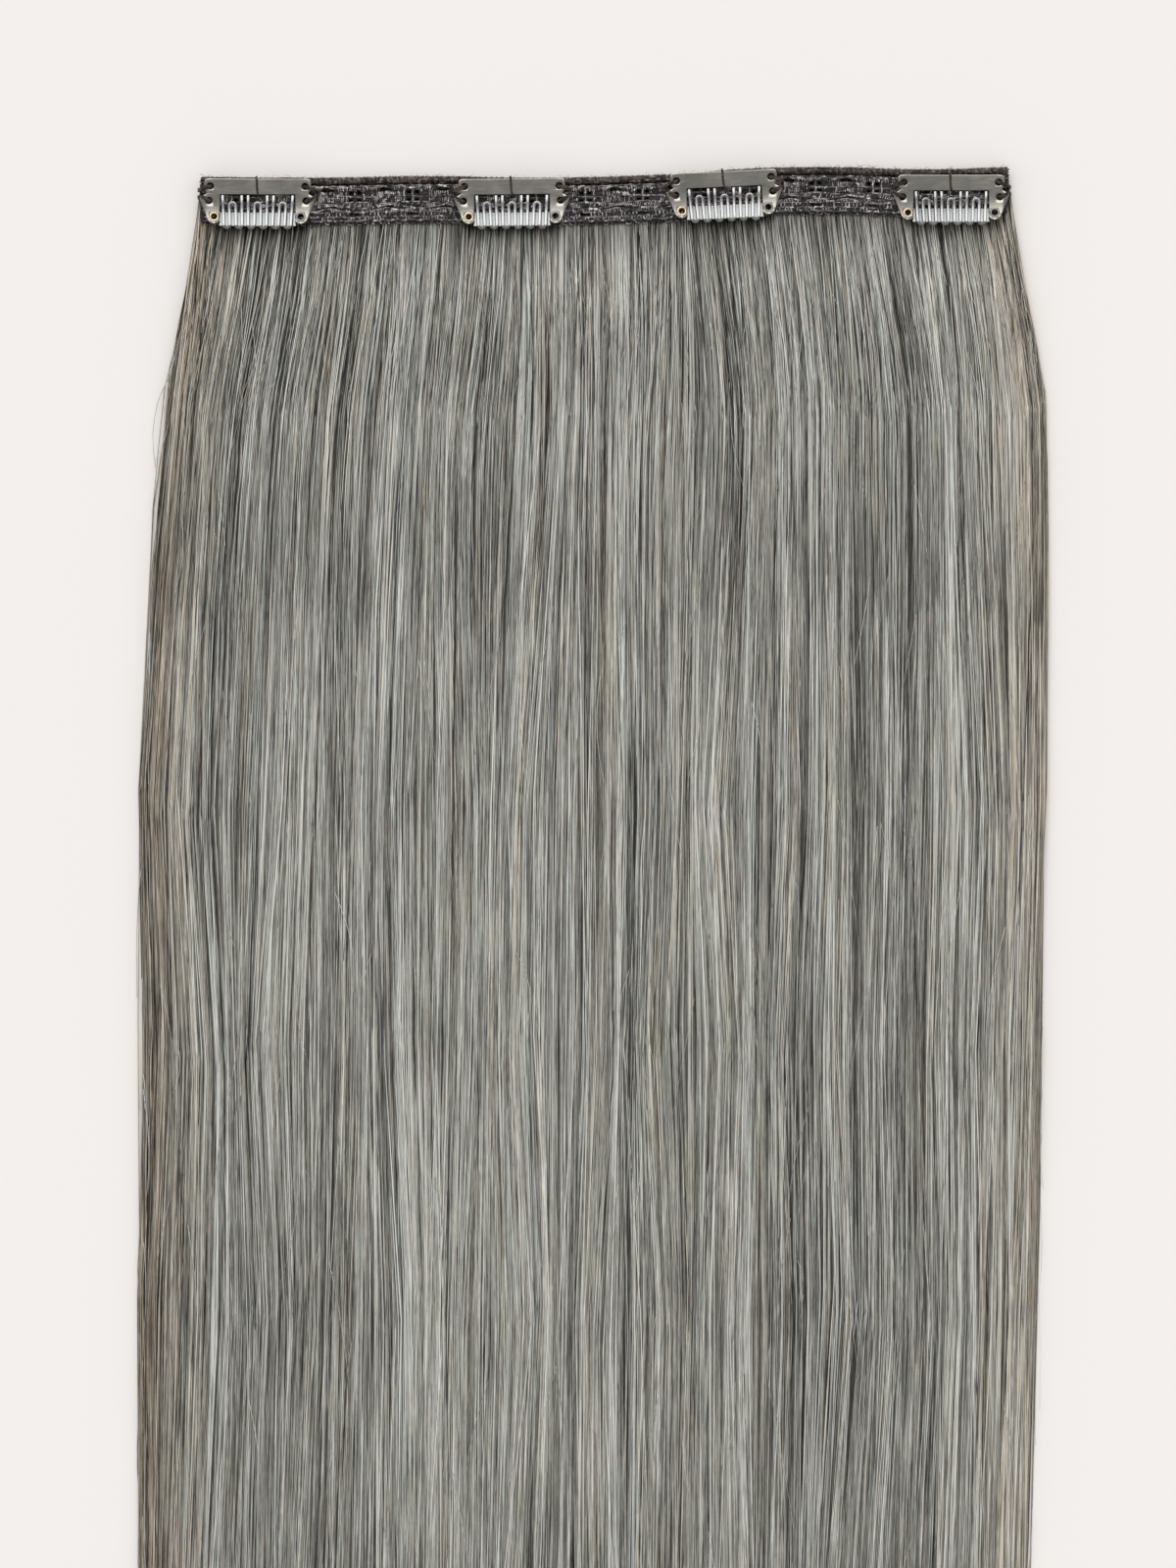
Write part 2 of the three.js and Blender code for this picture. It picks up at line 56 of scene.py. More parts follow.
# The camera looks straight down on the photograph's middle, from CAMERA_HEIGHT over the band's top side.
# The scale is the photograph's, measured on the clips.
PHOTO_HEIGHT = 1600
PIXELS_PER_MM = 3.69
PHOTO_MIDDLE = (600, 800)
BAND_MIDDLE_PIXEL = 604.5
BAND_TOP_PIXEL = 170
CAMERA_HEIGHT, BAND_RISE = 1500, 4
SENSOR = 36
FLOOR_DROP = 0.15
TABLE_COLOUR = (0.955, 0.918, 0.892)
# The lamp's slant from straight up towards the clips' end, its lean to the left, and the angle that it fills
LAMP_SLANT, LAMP_SIDE, LAMP_SPREAD = 37, -7, 42
LAMP_STRENGTH, WORLD_STRENGTH = 1.55, 0.56

# Hair
WEFT_LENGTH = 500
FLARE_LEFT, FLARE_RIGHT = 17.4, 10.8
HAIR_THICKNESS, ROOT_THICKNESS = 7.0, 2.9
RIM_SHARE = 0.2
LOCKS = 20

# Snap clips, in each clip's own frame: the eyelet line is y = 0, and z = 0 is the grip strip's underside
EAR_TIP = 16.0
EYELET_INSET, SHOULDER_INSET, NOTCH_INSET = 4.05, 1.25, 2.1
PLATE_TOP, PLATE_FOOT, BAR_HEIGHT = 10.5, 2.0, 4.3
CORNER_ROUND, EDGE_ROUND, EAR_RISE = 1.3, 0.5, 0.8
SEW_HOLES = ((2.9, 8.4), (2.55, 4.4))
SEW_HOLE_RADIUS = 1.0
BOW_RADIUS, CURL_START, CURL_RADIUS = 200, 5, 36
PLATE_WALL, STRIP_WALL, STRIP_GAP = 0.55, 0.5, 0.25
STRIP_UP, STRIP_DOWN = 1.25, 2.55
EYELET_BORE, EYELET_BARREL, EYELET_FLANGE, EYELET_ROLL, EYELET_LOW = 0.75, 0.95, 1.4, 0.3, -0.35
PLATE_ROUNDING, STRIP_ROUNDING = 0.13, 0.08
TINE_WIDTH, TINE_WALL, TINE_FOOT, ARCH_TOP = 0.85, 0.5, 3.6, 4.3
LEG_INNER, COMB_SIDE_GAP, COMB_TAPER, ROOT_GAP = 1.55, 0.3, 0.943, 0.15
CRANK_RISE, CRANK_RUN = 0.3, 1.3
TINE_BOW_START, TINE_BOW, FOOT_BEND, FOOT_DROP = 2.4, 0.018, -2.3, 0.32
LOOPS, TINES = ("left", "middle", "right"), 4

EYELET_HALF = EAR_TIP - EYELET_INSET
WINDOW_HALF = EYELET_HALF - LEG_INNER
WINDOW_TOP = PLATE_TOP - BAR_HEIGHT
PLATE_LEVEL = STRIP_WALL + STRIP_GAP
COMB_LEVEL = PLATE_LEVEL + PLATE_WALL / 2
COMB_ROOT = WINDOW_TOP - ROOT_GAP - TINE_WALL / 2

# The hair's sections: share of the length down, shares of the two flares, share of the way from
# ROOT_THICKNESS to HAIR_THICKNESS, and how free the hair is of the band's wave.
HAIR_SECTIONS = np.array(
    [
        (0.0048, 0.0, 0.0, 0.0, 0.0),
        (0.027, 0.03, 0.06, 0.0, 0.0),
        (0.042, 0.11, 0.2, 0.2, 0.15),
        (0.07, 0.24, 0.45, 0.48, 0.45),
        (0.098, 0.41, 0.7, 0.68, 0.75),
        (0.125, 0.58, 0.9, 0.82, 1.0),
        (0.18, 0.75, 0.97, 0.95, 1.0),
        (0.29, 0.905, 0.99, 1.0, 1.0),
        (0.4, 1.0, 1.0, 1.0, 1.0),
        (0.56, 0.95, 0.95, 0.9, 1.0),
        (0.72, 0.99, 0.74, 0.68, 1.0),
        (0.86, 0.93, 0.55, 0.3, 1.0),
        (1.0, 0.62, 0.2, -0.45, 1.0),
    ]
)

# Slow waves of a strand: length and height in millimetres. A strand's first corner is turned at random.
STRAND_WAVES = ((330, 1.0), (150, 0.4))
STRAND_TURN = 2.1
STRAND_SLANT, SLANT_REACH = 0.10, 45
# How far the hair's bundles drift sideways, as a share of its width
BUNDLE_DRIFT = 0.012
# The two sizes of clumps that strands gather in: width, and how strongly they gather
BROAD_CLUMP, CLUMP_PULL, FINE_CLUMP, FINE_PULL = 2.3, 0.7, 0.95, 0.85
# The hair's body: where its grid starts and ends, its depth under the strands, and its lift off the table
BODY_START, BODY_END, BODY_SIDE, BODY_DEPTH, BODY_LIFT = 0.0048, 0.955, 0.008, 1.0, 0.35
# The UV cells of swept tubes: how many more columns than rows, and how much of a cell is filled
CELL_GRID, CELL_FILLED = 4, 0.9
HAIR_TONE = 0.585
# The hair's broad tone: share of the way across, and how much lighter or darker the hair is there
BROAD_TONES = ((0, -0.12), (0.07, 0.03), (0.14, 0.05), (0.36, 0.05), (0.6, 0.025), (0.86, 0.01), (0.98, 0.10))


def box_mm(node):
    """A node's lowest and highest corners in millimetres."""
    low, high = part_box(node)
    return np.array(low) / MM, np.array(high) / MM


SEAM_LOW, SEAM_HIGH = box_mm("weft_seam")
LACE_LOW, LACE_HIGH = box_mm("lace_band")
BAND_LEFT, BAND_RIGHT = SEAM_LOW[0], SEAM_HIGH[0]
TOP = SEAM_HIGH[1]
BAND_WIDTH = 12.7
SEAM_WIDTH = 2.1


def seam_ridge():
    """The upper edge of the seam's solid: the places along X of its points, and the highest Y at each."""
    mesh = frame["nodes"]["weft_seam"].data
    points = np.empty(3 * len(mesh.vertices))
    mesh.vertices.foreach_get("co", points)
    points = points.reshape(-1, 3) / MM
    places = np.unique(points[:, 0].round(2))
    edge = [points[np.abs(points[:, 0] - x) < 0.02, 1].max() for x in places]
    return places, np.array(edge)


RIDGE_X, RIDGE_Y = seam_ridge()


def band_top(x):
    """The place along Y of the band's top edge: the seam's upper edge, read between its sections."""
    return np.interp(x, RIDGE_X, RIDGE_Y)


def make_mesh(name, points, faces, slot, material, body=ROOT, uv=None, **tones):
    """A smooth piece from an array of points in millimetres and a list of face arrays, each with its own
    corner count. uv holds a place for each corner, and tones hold a value for each point."""
    mesh = bpy.data.meshes.new(name)
    points = np.asarray(points, dtype=np.float32) * MM
    mesh.vertices.add(len(points))
    mesh.vertices.foreach_set("co", points.ravel())
    corners = np.concatenate([np.asarray(f, dtype=np.int32).ravel() for f in faces])
    sizes = np.concatenate([np.full(len(f), np.shape(f)[1], dtype=np.int32) for f in faces])
    mesh.loops.add(len(corners))
    mesh.loops.foreach_set("vertex_index", corners)
    mesh.polygons.add(len(sizes))
    mesh.polygons.foreach_set("loop_start", np.concatenate([[0], np.cumsum(sizes)[:-1]]).astype(np.int32))
    mesh.polygons.foreach_set("use_smooth", np.full(len(sizes), True))
    mesh.update(calc_edges=True)
    for key, values in tones.items():
        layer = mesh.attributes.new(key, "FLOAT", "POINT")
        layer.data.foreach_set("value", np.asarray(values, dtype=np.float32).ravel())
    if uv is not None:
        layer = mesh.uv_layers.new(name="OFBake")
        layer.data.foreach_set("uv", np.asarray(uv, dtype=np.float32).ravel())
    mesh.materials.append(material)
    piece = bpy.data.objects.new(name, mesh)
    bpy.context.collection.objects.link(piece)
    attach(piece, body)
    return piece


def swept(paths, radius, sides, flatten=1.0, start_turn=0.0):
    """Tubes along paths. paths is (tubes, rows, 3) and radius (tubes, rows). Each ring lies across the
    path's direction there, on two normals carried from row to row: middle + radius * (side * cos(turn) +
    flatten * up * sin(turn)). Returns points and faces."""
    tubes, rows, _ = paths.shape
    along = np.gradient(paths, axis=1)
    along /= np.linalg.norm(along, axis=2, keepdims=True)
    side = np.cross(along[:, 0], [0.0, 0.0, 1.0])
    weak = np.linalg.norm(side, axis=1) < 0.1
    side[weak] = np.cross(along[weak, 0], [0.0, 1.0, 0.0])
    sides_at = np.empty_like(paths)
    for row in range(rows):
        side = side - along[:, row] * np.sum(side * along[:, row], axis=1, keepdims=True)
        side /= np.linalg.norm(side, axis=1, keepdims=True)
        sides_at[:, row] = side
    up = np.cross(sides_at, along)
    turn = np.arange(sides) * 2 * np.pi / sides + np.asarray(start_turn, dtype=float).reshape(-1, 1, 1)
    ring = sides_at[:, :, None] * np.cos(turn)[..., None] + flatten * up[:, :, None] * np.sin(turn)[..., None]
    points = (paths[:, :, None] + radius[:, :, None, None] * ring).reshape(-1, 3)
    first = (np.arange(tubes) * rows * sides)[:, None, None]
    row = first + (np.arange(rows - 1) * sides)[None, :, None]
    k = np.arange(sides)
    after = (k + 1) % sides
    quads = np.stack([row + k, row + after, row + sides + after, row + sides + k], -1).reshape(-1, 4)
    near_caps = first[:, 0] + k[::-1]
    far_caps = first[:, 0] + (rows - 1) * sides + k
    return points, [quads, near_caps, far_caps]


def tube_cells(tubes, rows, sides):
    """A UV place for each corner of swept tubes, in the order of their faces. Each tube has a cell of its
    own in a grid of cells, its sides laid out across the cell and its rows down it. A tube's two caps lie
    at its cell's upper and lower rims."""
    columns = min(tubes, int(CELL_GRID * math.sqrt(tubes)))
    cell_u, cell_v = np.arange(tubes) % columns, np.arange(tubes) // columns
    lines = cell_v.max() + 1
    k = np.arange(sides)
    across = np.stack([k, k + 1, k + 1, k], -1) / sides * CELL_FILLED
    down = (np.arange(rows - 1)[:, None, None] + np.array([0, 0, 1, 1])) / (rows - 1) * CELL_FILLED
    across, down = np.broadcast_arrays(across[None], down)
    u = (cell_u[:, None, None, None] + across) / columns
    v = (cell_v[:, None, None, None] + down) / lines
    places = [np.stack([u, v], -1).reshape(-1, 2)]
    cap_u = (cell_u[:, None] + (k + 0.5) / sides * CELL_FILLED) / columns
    for rim, height in ((0.0, 0.01), (CELL_FILLED, 0.04)):
        cap_v = (cell_v[:, None] + rim + height * (k % 2 == 0)) / lines
        places.append(np.stack([cap_u, cap_v], -1).reshape(-1, 2))
    return np.concatenate(places)


def thread_piece(name, paths, radius, sides, slot, material, flatten=1.0, start_turn=0.0, **tones):
    """A piece made of swept tubes. radius has a value for each point of the paths, and so has each of
    tones, or for each tube."""
    tubes, rows, _ = paths.shape
    points, faces = swept(paths, np.broadcast_to(radius, (tubes, rows)), sides, flatten, start_turn)
    for key, given in tones.items():
        tones[key] = np.repeat(np.broadcast_to(given, (tubes, rows)).ravel(), sides)
    make_mesh(name, points, faces, slot, material, uv=tube_cells(tubes, rows, sides), **tones)


def grid_faces(rows, columns, wrap=False):
    """The quads of a grid of rows by columns, whose last column joins the first if it wraps."""
    r = np.arange(rows - 1)[:, None]
    c = np.arange(columns if wrap else columns - 1)[None, :]
    after = (c + 1) % columns
    here, below = r * columns, (r + 1) * columns
    return np.stack([here + c, here + after, below + after, below + c], -1).reshape(-1, 4)


def lattice(rows, columns, seed):
    """A smooth random surface over the unit square: random heights on a lattice, read between its
    points on an eased curve. Returns a function of two arrays of shares."""
    heights = np.random.default_rng(seed).uniform(-1, 1, (rows + 1, columns + 1))

    def read(down, across):
        a = np.clip(down, 0, 1) * (rows - 1e-6)
        b = np.clip(across, 0, 1) * (columns - 1e-6)
        i, j = a.astype(int), b.astype(int)
        ta, tb = a - i, b - j
        ta, tb = ta * ta * (3 - 2 * ta), tb * tb * (3 - 2 * tb)
        upper = heights[i, j] * (1 - tb) + heights[i, j + 1] * tb
        lower = heights[i + 1, j] * (1 - tb) + heights[i + 1, j + 1] * tb
        return upper * (1 - ta) + lower * ta

    return read


# Materials


class Nodes:
    """A material's nodes, with short calls for the ones used here."""

    def __init__(self, tree):
        self.tree = tree

    def add(self, kind, **values):
        node = self.tree.nodes.new(kind)
        for key, value in values.items():
            setattr(node, key, value)
        return node

    def link(self, source, target):
        self.tree.links.new(source, target)

    def value(self, target, given):
        if isinstance(given, bpy.types.NodeSocket):
            self.link(given, target)
        else:
            target.default_value = given

    def math(self, operation, a, b=0.0):
        node = self.add("ShaderNodeMath", operation=operation)
        self.value(node.inputs[0], a)
        self.value(node.inputs[1], b)
        return node.outputs[0]

    def scaled(self, coordinates, scale):
        node = self.add("ShaderNodeMapping")
        self.link(coordinates, node.inputs["Vector"])
        self.value(node.inputs["Scale"], scale)
        return node.outputs[0]

    def noise(self, coordinates, scale, detail=2.0, roughness=0.5):
        node = self.add("ShaderNodeTexNoise")
        self.link(coordinates, node.inputs["Vector"])
        node.inputs["Scale"].default_value = scale
        node.inputs["Detail"].default_value = detail
        node.inputs["Roughness"].default_value = roughness
        return node.outputs["Fac"]

    def ramp(self, factor, stops):
        node = self.add("ShaderNodeValToRGB")
        self.link(factor, node.inputs["Fac"])
        elements = node.color_ramp.elements
        while len(elements) < len(stops):
            elements.new(0.5)
        for element, (place, colour) in zip(elements, stops):
            element.position = place
            element.color = (*colour, 1)
        return node.outputs["Color"]

    def mix(self, factor, a, b, blend="MIX"):
        node = self.add("ShaderNodeMix", data_type="RGBA", blend_type=blend)
        self.value(node.inputs["Factor"], factor)
        self.value(node.inputs["A"], a if isinstance(a, bpy.types.NodeSocket) else (*a, 1))
        self.value(node.inputs["B"], b if isinstance(b, bpy.types.NodeSocket) else (*b, 1))
        return node.outputs["Result"]

    def spread(self, factor, low, high, to_low=0.0, to_high=1.0):
        node = self.add("ShaderNodeMapRange")
        self.link(factor, node.inputs["Value"])
        node.inputs["From Min"].default_value = low
        node.inputs["From Max"].default_value = high
        node.inputs["To Min"].default_value = to_low
        node.inputs["To Max"].default_value = to_high
        return node.outputs["Result"]

    def attribute(self, name):
        return self.add("ShaderNodeAttribute", attribute_name=name).outputs["Fac"]

    def bump(self, height, strength, distance):
        node = self.add("ShaderNodeBump")
        self.link(height, node.inputs["Height"])
        node.inputs["Strength"].default_value = strength
        node.inputs["Distance"].default_value = distance
        return node.outputs["Normal"]

    def group(self, tree, **given):
        node = self.add("ShaderNodeGroup", node_tree=tree)
        for key, value in given.items():
            self.value(node.inputs[key.replace("_", " ")], value)
        return node.outputs


def node_group(name, inputs, outputs):
    """An empty shader node group with named inputs and outputs, each given with its kind of socket.
    Returns it with its nodes, what is given to it and the sockets that it puts out."""
    tree = bpy.data.node_groups.new(name, "ShaderNodeTree")
    for label, kind in inputs.items():
        tree.interface.new_socket(name=label, in_out="INPUT", socket_type=kind)
    for label, kind in outputs.items():
        tree.interface.new_socket(name=label, in_out="OUTPUT", socket_type=kind)
    nodes = Nodes(tree)
    given = nodes.add("NodeGroupInput").outputs
    made = nodes.add("NodeGroupOutput").inputs
    return tree, nodes, given, made


def material(name, metallic=0.0, specular=0.5):
    """A new material with one Principled shader. Returns it with its nodes and the shader."""
    made = bpy.data.materials.new(name)
    made.use_nodes = True
    nodes = Nodes(made.node_tree)
    shader = made.node_tree.nodes["Principled BSDF"]
    shader.inputs["Metallic"].default_value = metallic
    shader.inputs["Specular IOR Level"].default_value = specular
    return made, nodes, shader


def hair_material(name, dim):
    """Silver-grey hair. The strand's own tone picks from dark to light, streaks along it vary it, warm
    strands lean to beige and cool ones to blue. dim darkens the hair that lies deeper: painted shade, as if
    the hair over it kept the light off."""
    made, nodes, shader = material(name, specular=0.35)
    place = nodes.add("ShaderNodeTexCoord").outputs["Object"]
    streak = nodes.noise(nodes.scaled(place, (1500, 42, 300)), 1.0, 3.0, 0.6)
    fleck = nodes.noise(nodes.scaled(place, (3200, 330, 600)), 1.0, 2.0, 0.6)
    tone = nodes.math("ADD", nodes.attribute("tone"), nodes.spread(streak, 0.25, 0.75, -0.22, 0.22))
    tone = nodes.math("ADD", tone, nodes.spread(fleck, 0.25, 0.75, -0.1, 0.1))
    grey = nodes.ramp(
        tone,
        [
            (0.0, (0.020, 0.019, 0.017)),
            (0.25, (0.095, 0.092, 0.084)),
            (0.5, (0.30, 0.300, 0.276)),
            (0.75, (0.57, 0.585, 0.545)),
            (1.0, (0.90, 0.91, 0.87)),
        ],
    )
    warm = nodes.attribute("warm")
    beige = nodes.mix(nodes.math("MAXIMUM", warm, 0.0), grey, (0.94, 0.74, 0.55), "MULTIPLY")
    cool = nodes.math("MAXIMUM", nodes.math("MULTIPLY", warm, -1.0), 0.0)
    hue = nodes.mix(cool, beige, (0.88, 0.96, 1.0), "MULTIPLY")
    # Painted shade: each point's painted-shade amount pulls its colour towards dim.
    deep = nodes.mix(nodes.attribute("depth"), hue, (dim, dim, dim * 0.93), "MULTIPLY")
    nodes.link(deep, shader.inputs["Base Color"])
    nodes.link(nodes.spread(streak, 0.2, 0.8, 0.36, 0.5), shader.inputs["Roughness"])
    return made


def twisted_thread():
    """The pattern of twisted thread, as a node group: light and dark bands across it at a slant, a fuzz of
    fine noise, dim stretches, and bright flecks where it catches the light. The thread's own tone lightens
    or darkens it."""
    tree, nodes, given, made = node_group(
        "twisted thread",
        {"Place": "NodeSocketVector", "Scale": "NodeSocketVector", "Tone": "NodeSocketFloat"},
        {"Twist": "NodeSocketFloat", "Fleck": "NodeSocketFloat", "Fuzz": "NodeSocketFloat"},
    )
    place = given["Place"]
    wave = nodes.add("ShaderNodeTexWave", wave_type="BANDS", bands_direction="DIAGONAL")
    nodes.link(nodes.scaled(place, given["Scale"]), wave.inputs["Vector"])
    wave.inputs["Scale"].default_value = 1.0
    wave.inputs["Distortion"].default_value = 3.0
    wave.inputs["Detail"].default_value = 2.0
    fuzz = nodes.noise(nodes.scaled(place, (2600, 2600, 2600)), 1.0, 4.0, 0.7)
    patch = nodes.noise(nodes.scaled(place, (420, 620, 420)), 1.0, 2.0)
    fleck = nodes.noise(nodes.scaled(place, (950, 1300, 950)), 1.0, 2.0, 0.6)
    mask = nodes.math("MULTIPLY", wave.outputs["Fac"], nodes.spread(fuzz, 0.3, 0.7, 0.3, 1.0))
    mask = nodes.math("ADD", mask, nodes.spread(patch, 0.35, 0.65, -0.55, 0.35))
    nodes.link(nodes.math("ADD", mask, given["Tone"]), made["Twist"])
    nodes.link(nodes.spread(fleck, 0.56, 0.69), made["Fleck"])
    nodes.link(nodes.spread(fuzz, 0.3, 0.7), made["Fuzz"])
    return tree


def worn_metal():
    """The pattern of handled metal, as a node group: fine scratches along X and a soft cloudiness."""
    tree, nodes, given, made = node_group(
        "worn metal",
        {"Place": "NodeSocketVector"},
        {"Wear": "NodeSocketFloat", "Scratches": "NodeSocketFloat"},
    )
    lines = nodes.noise(nodes.scaled(given["Place"], (240, 4200, 900)), 1.0, 5.0, 0.65)
    clouds = nodes.noise(nodes.scaled(given["Place"], (160, 160, 160)), 1.0, 3.0, 0.55)
    scratched, clouded = (nodes.spread(pattern, 0.3, 0.7, -0.5, 0.5) for pattern in (lines, clouds))
    nodes.link(nodes.math("ADD", scratched, clouded), made["Wear"])
    nodes.link(lines, made["Scratches"])
    return tree


TWISTED_THREAD = twisted_thread()
WORN_METAL = worn_metal()


def thread_material(name, colour, dark, glint, scale):
    """Twisted thread between a dark and a light colour, glinting here and there. scale is how many turns
    it has in a metre."""
    made, nodes, shader = material(name, specular=0.4)
    place = nodes.add("ShaderNodeTexCoord").outputs["Object"]
    slope = 0.9
    pattern = nodes.group(
        TWISTED_THREAD, Place=place, Scale=(scale, scale * slope, scale), Tone=nodes.attribute("tone")
    )
    thread = nodes.mix(pattern["Twist"], dark, colour)
    nodes.link(nodes.mix(pattern["Fleck"], thread, glint), shader.inputs["Base Color"])
    nodes.link(nodes.spread(pattern["Fuzz"], 0, 1, 0.45, 0.8), shader.inputs["Roughness"])
    nodes.link(nodes.bump(pattern["Twist"], 0.6, 0.0002), shader.inputs["Normal"])
    return made


def metal_material(name, colour, roughness):
    """Stamped metal: its scratches and cloudiness vary its roughness and its colour."""
    made, nodes, shader = material(name, metallic=1.0)
    place = nodes.add("ShaderNodeTexCoord").outputs["Object"]
    pattern = nodes.group(WORN_METAL, Place=place)
    dull = tuple(c * 0.72 for c in colour)
    vary = 0.08
    nodes.link(nodes.mix(nodes.spread(pattern["Wear"], -0.8, 0.8), dull, colour), shader.inputs["Base Color"])
    nodes.link(
        nodes.spread(pattern["Wear"], -1, 1, roughness - vary, roughness + vary), shader.inputs["Roughness"]
    )
    nodes.link(nodes.bump(pattern["Scratches"], 0.12, 0.00004), shader.inputs["Normal"])
    return made


HAIR = hair_material("silver hair", 0.30)
# Threads: name, light colour, dark colour, glint, turns in a metre
SEAM, LACE, LACE_GROUND, SEWING = (
    thread_material(*row)
    for row in (
        ("seam thread", (0.16, 0.125, 0.11), (0.014, 0.010, 0.009), (0.42, 0.35, 0.31), 1500),
        ("lace thread", (0.49, 0.435, 0.44), (0.026, 0.021, 0.021), (1.0, 0.95, 0.95), 1700),
        # lace ground: nearly black, painted shade in the gaps between the lace's stitches
        ("lace ground", (0.045, 0.037, 0.038), (0.006, 0.005, 0.005), (0.08, 0.07, 0.07), 1400),
        ("sewing thread", (0.12, 0.08, 0.064), (0.016, 0.010, 0.008), (0.19, 0.14, 0.12), 2600),
    )
)
# Metals: name, colour, roughness
PLATE = metal_material("gunmetal plate", (0.290, 0.277, 0.248), 0.23)
COMB = metal_material("comb steel", (0.285, 0.287, 0.284), 0.27)
STRIP = metal_material("bright strip", (0.21, 0.214, 0.214), 0.25)
BRASS = metal_material("pale brass", (0.74, 0.61, 0.44), 0.28)
GREY_EYELET = metal_material("grey eyelet", (0.26, 0.255, 0.24), 0.25)


# Hair


def section(down, column):
    """One column of the hair's sections at a share of the length down."""
    return np.interp(down, HAIR_SECTIONS[:, 0], HAIR_SECTIONS[:, column])


def hair_side(down):
    """The hair's left and right edges: the band's ends moved out by their shares of the flares."""
    return BAND_LEFT - FLARE_LEFT * section(down, 1), BAND_RIGHT + FLARE_RIGHT * section(down, 2)


def hair_top(share, down):
    """The height of the hair over the table: its section's thickness, falling at the two long edges."""
    crown = ROOT_THICKNESS + (HAIR_THICKNESS - ROOT_THICKNESS) * section(down, 3)
    edge = np.clip(np.abs(2 * share - 1), 0, 1)
    rim = RIM_SHARE + (1 - RIM_SHARE) * np.sqrt(1 - edge**6)
    return crown * (1 + (rim - 1) * section(down, 4))


def hair_place(share, down):
    """X and Y of the hair at a share across and a share down: across between its edges, and down from the
    band's wavy edge, which it leaves as it gets free."""
    left, right = hair_side(down)
    x = left + (right - left) * share
    loose = section(down, 4)
    y = band_top(np.clip(x, BAND_LEFT, BAND_RIGHT)) * (1 - loose) + TOP * loose - WEFT_LENGTH * down
    return x, y


def lock_ridge(share, down):
    """The hair's uneven top: broad locks and finer bundles, which drift a little sideways on their way."""
    drift = BUNDLE_DRIFT * broad_drift(down, share)
    broad = np.cos(2 * np.pi * (share + drift) * LOCKS) * 0.22
    fine = bundle_ridges(down, share + drift) * 0.35
    return (broad + fine) * section(down, 4)


def lock_end(share):
    """How much shorter than the whole the hair is, as a share of its length: locks end at different
    places, and the hair between two locks is shorter."""
    lock = share * LOCKS - 0.5
    between = 0.5 + 0.5 * np.cos(2 * np.pi * (share + 0.006 * tone_locks(0 * share, share)) * LOCKS)
    uneven = 0.5 - 0.5 * np.cos(2.1 * (lock - LOCKS / 2))
    return 0.020 * uneven + (0.007 + 0.006 * uneven) * between


broad_drift = lattice(6, 14, 3)
bundle_ridges = lattice(9, 150, 4)
tone_locks = lattice(5, 34, 5)
tone_bundles = lattice(8, 240, 6)
clump_drift = lattice(7, 60, 7)


def broad_tone(share):
    """How light the hair is across its width: dark at its left edge, light left of the middle and at its
    right edge."""
    return np.interp(share, *zip(*BROAD_TONES))


def hair_body():
    """The mass of the hair under the loose strands: a closed grid with a flat underside, its top at
    hair_top - BODY_DEPTH + lock_ridge."""
    rows, columns = 64, 280
    down = np.linspace(BODY_START, BODY_END, rows)[:, None] + np.zeros((1, columns))
    share = np.linspace(BODY_SIDE, 1 - BODY_SIDE, columns)[None, :] + np.zeros((rows, 1))
    down[-1] -= 0.02 * (0.5 + 0.5 * tone_bundles(down[-1] * 0, share[-1]))
    x, y = hair_place(share, down)
    z = np.maximum(hair_top(share, down) - BODY_DEPTH + lock_ridge(share, down), BODY_LIFT + 0.1)
    z = np.minimum(z, np.where(down < 0.03, ROOT_THICKNESS - 0.1, 99))
    top = np.stack([x, y, z], -1).reshape(-1, 3)
    faces = grid_faces(rows, columns)[:, ::-1]
    count = rows * columns
    edge = np.concatenate(
        [
            np.arange(columns),
            np.arange(1, rows) * columns + columns - 1,
            (rows - 1) * columns + np.arange(columns - 2, -1, -1),
            np.arange(rows - 2, 0, -1) * columns,
        ]
    )
    under = top[edge]
    under[:, 2] = BODY_LIFT
    low = np.arange(len(edge)) + count
    walls = np.stack([edge, np.roll(edge, -1), np.roll(low, -1), low], -1)
    faces = [faces, walls, low[None, ::-1]]
    points = np.concatenate([top, under])
    # Painted shade: the body is dark and gets the full painted shade, as the shade between the strands over
    # it; at its two long edges both are eased as painted light.
    tones = {"tone": 0.30 + 0.16 * tone_bundles(down, share) + 0.2 * at_edge(share)}
    tones["warm"] = edge_warmth(share)
    tones["depth"] = 1 - 0.7 * at_edge(share)
    tones = {key: np.concatenate([given.ravel(), given.ravel()[edge]]) for key, given in tones.items()}
    piece = make_mesh("hair_body", points, faces, "hair", HAIR, **tones)
    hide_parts("hair_fall")


def at_edge(share):
    """One at the hair's two long edges, nought away from them: light falls in between the strands there."""
    return np.clip((np.abs(2 * share - 1) - 0.94) / 0.04, 0, 1)


def under_clips(x):
    """One at the places along X where a clip lies over the hair's roots, nought between the clips: where the
    clips' painted shadow falls.
    """
    middles = np.array([joint["pos_m"][0] / MM for joint in frame["joints"]])
    nearest = np.abs(x[..., None] - middles).min(axis=-1)
    return np.clip((EAR_TIP - 1 - nearest) / 4, 0, 1)


def edge_warmth(share):
    """How warm the grey is: most at the two long edges."""
    edge = np.abs(2 * share - 1)
    return np.clip((edge - 0.82) / 0.18, 0, 1) ** 1.5 * np.where(share < 0.5, 0.6, 0.4)


def gathered(x, width, pull, phase):
    """Places along X drawn together into clumps: each place less a sine of itself, so that strands crowd
    at one side of every clump's width and leave a gap at the other."""
    return x - pull * width / (2 * np.pi) * np.sin(2 * np.pi * x / width + phase)


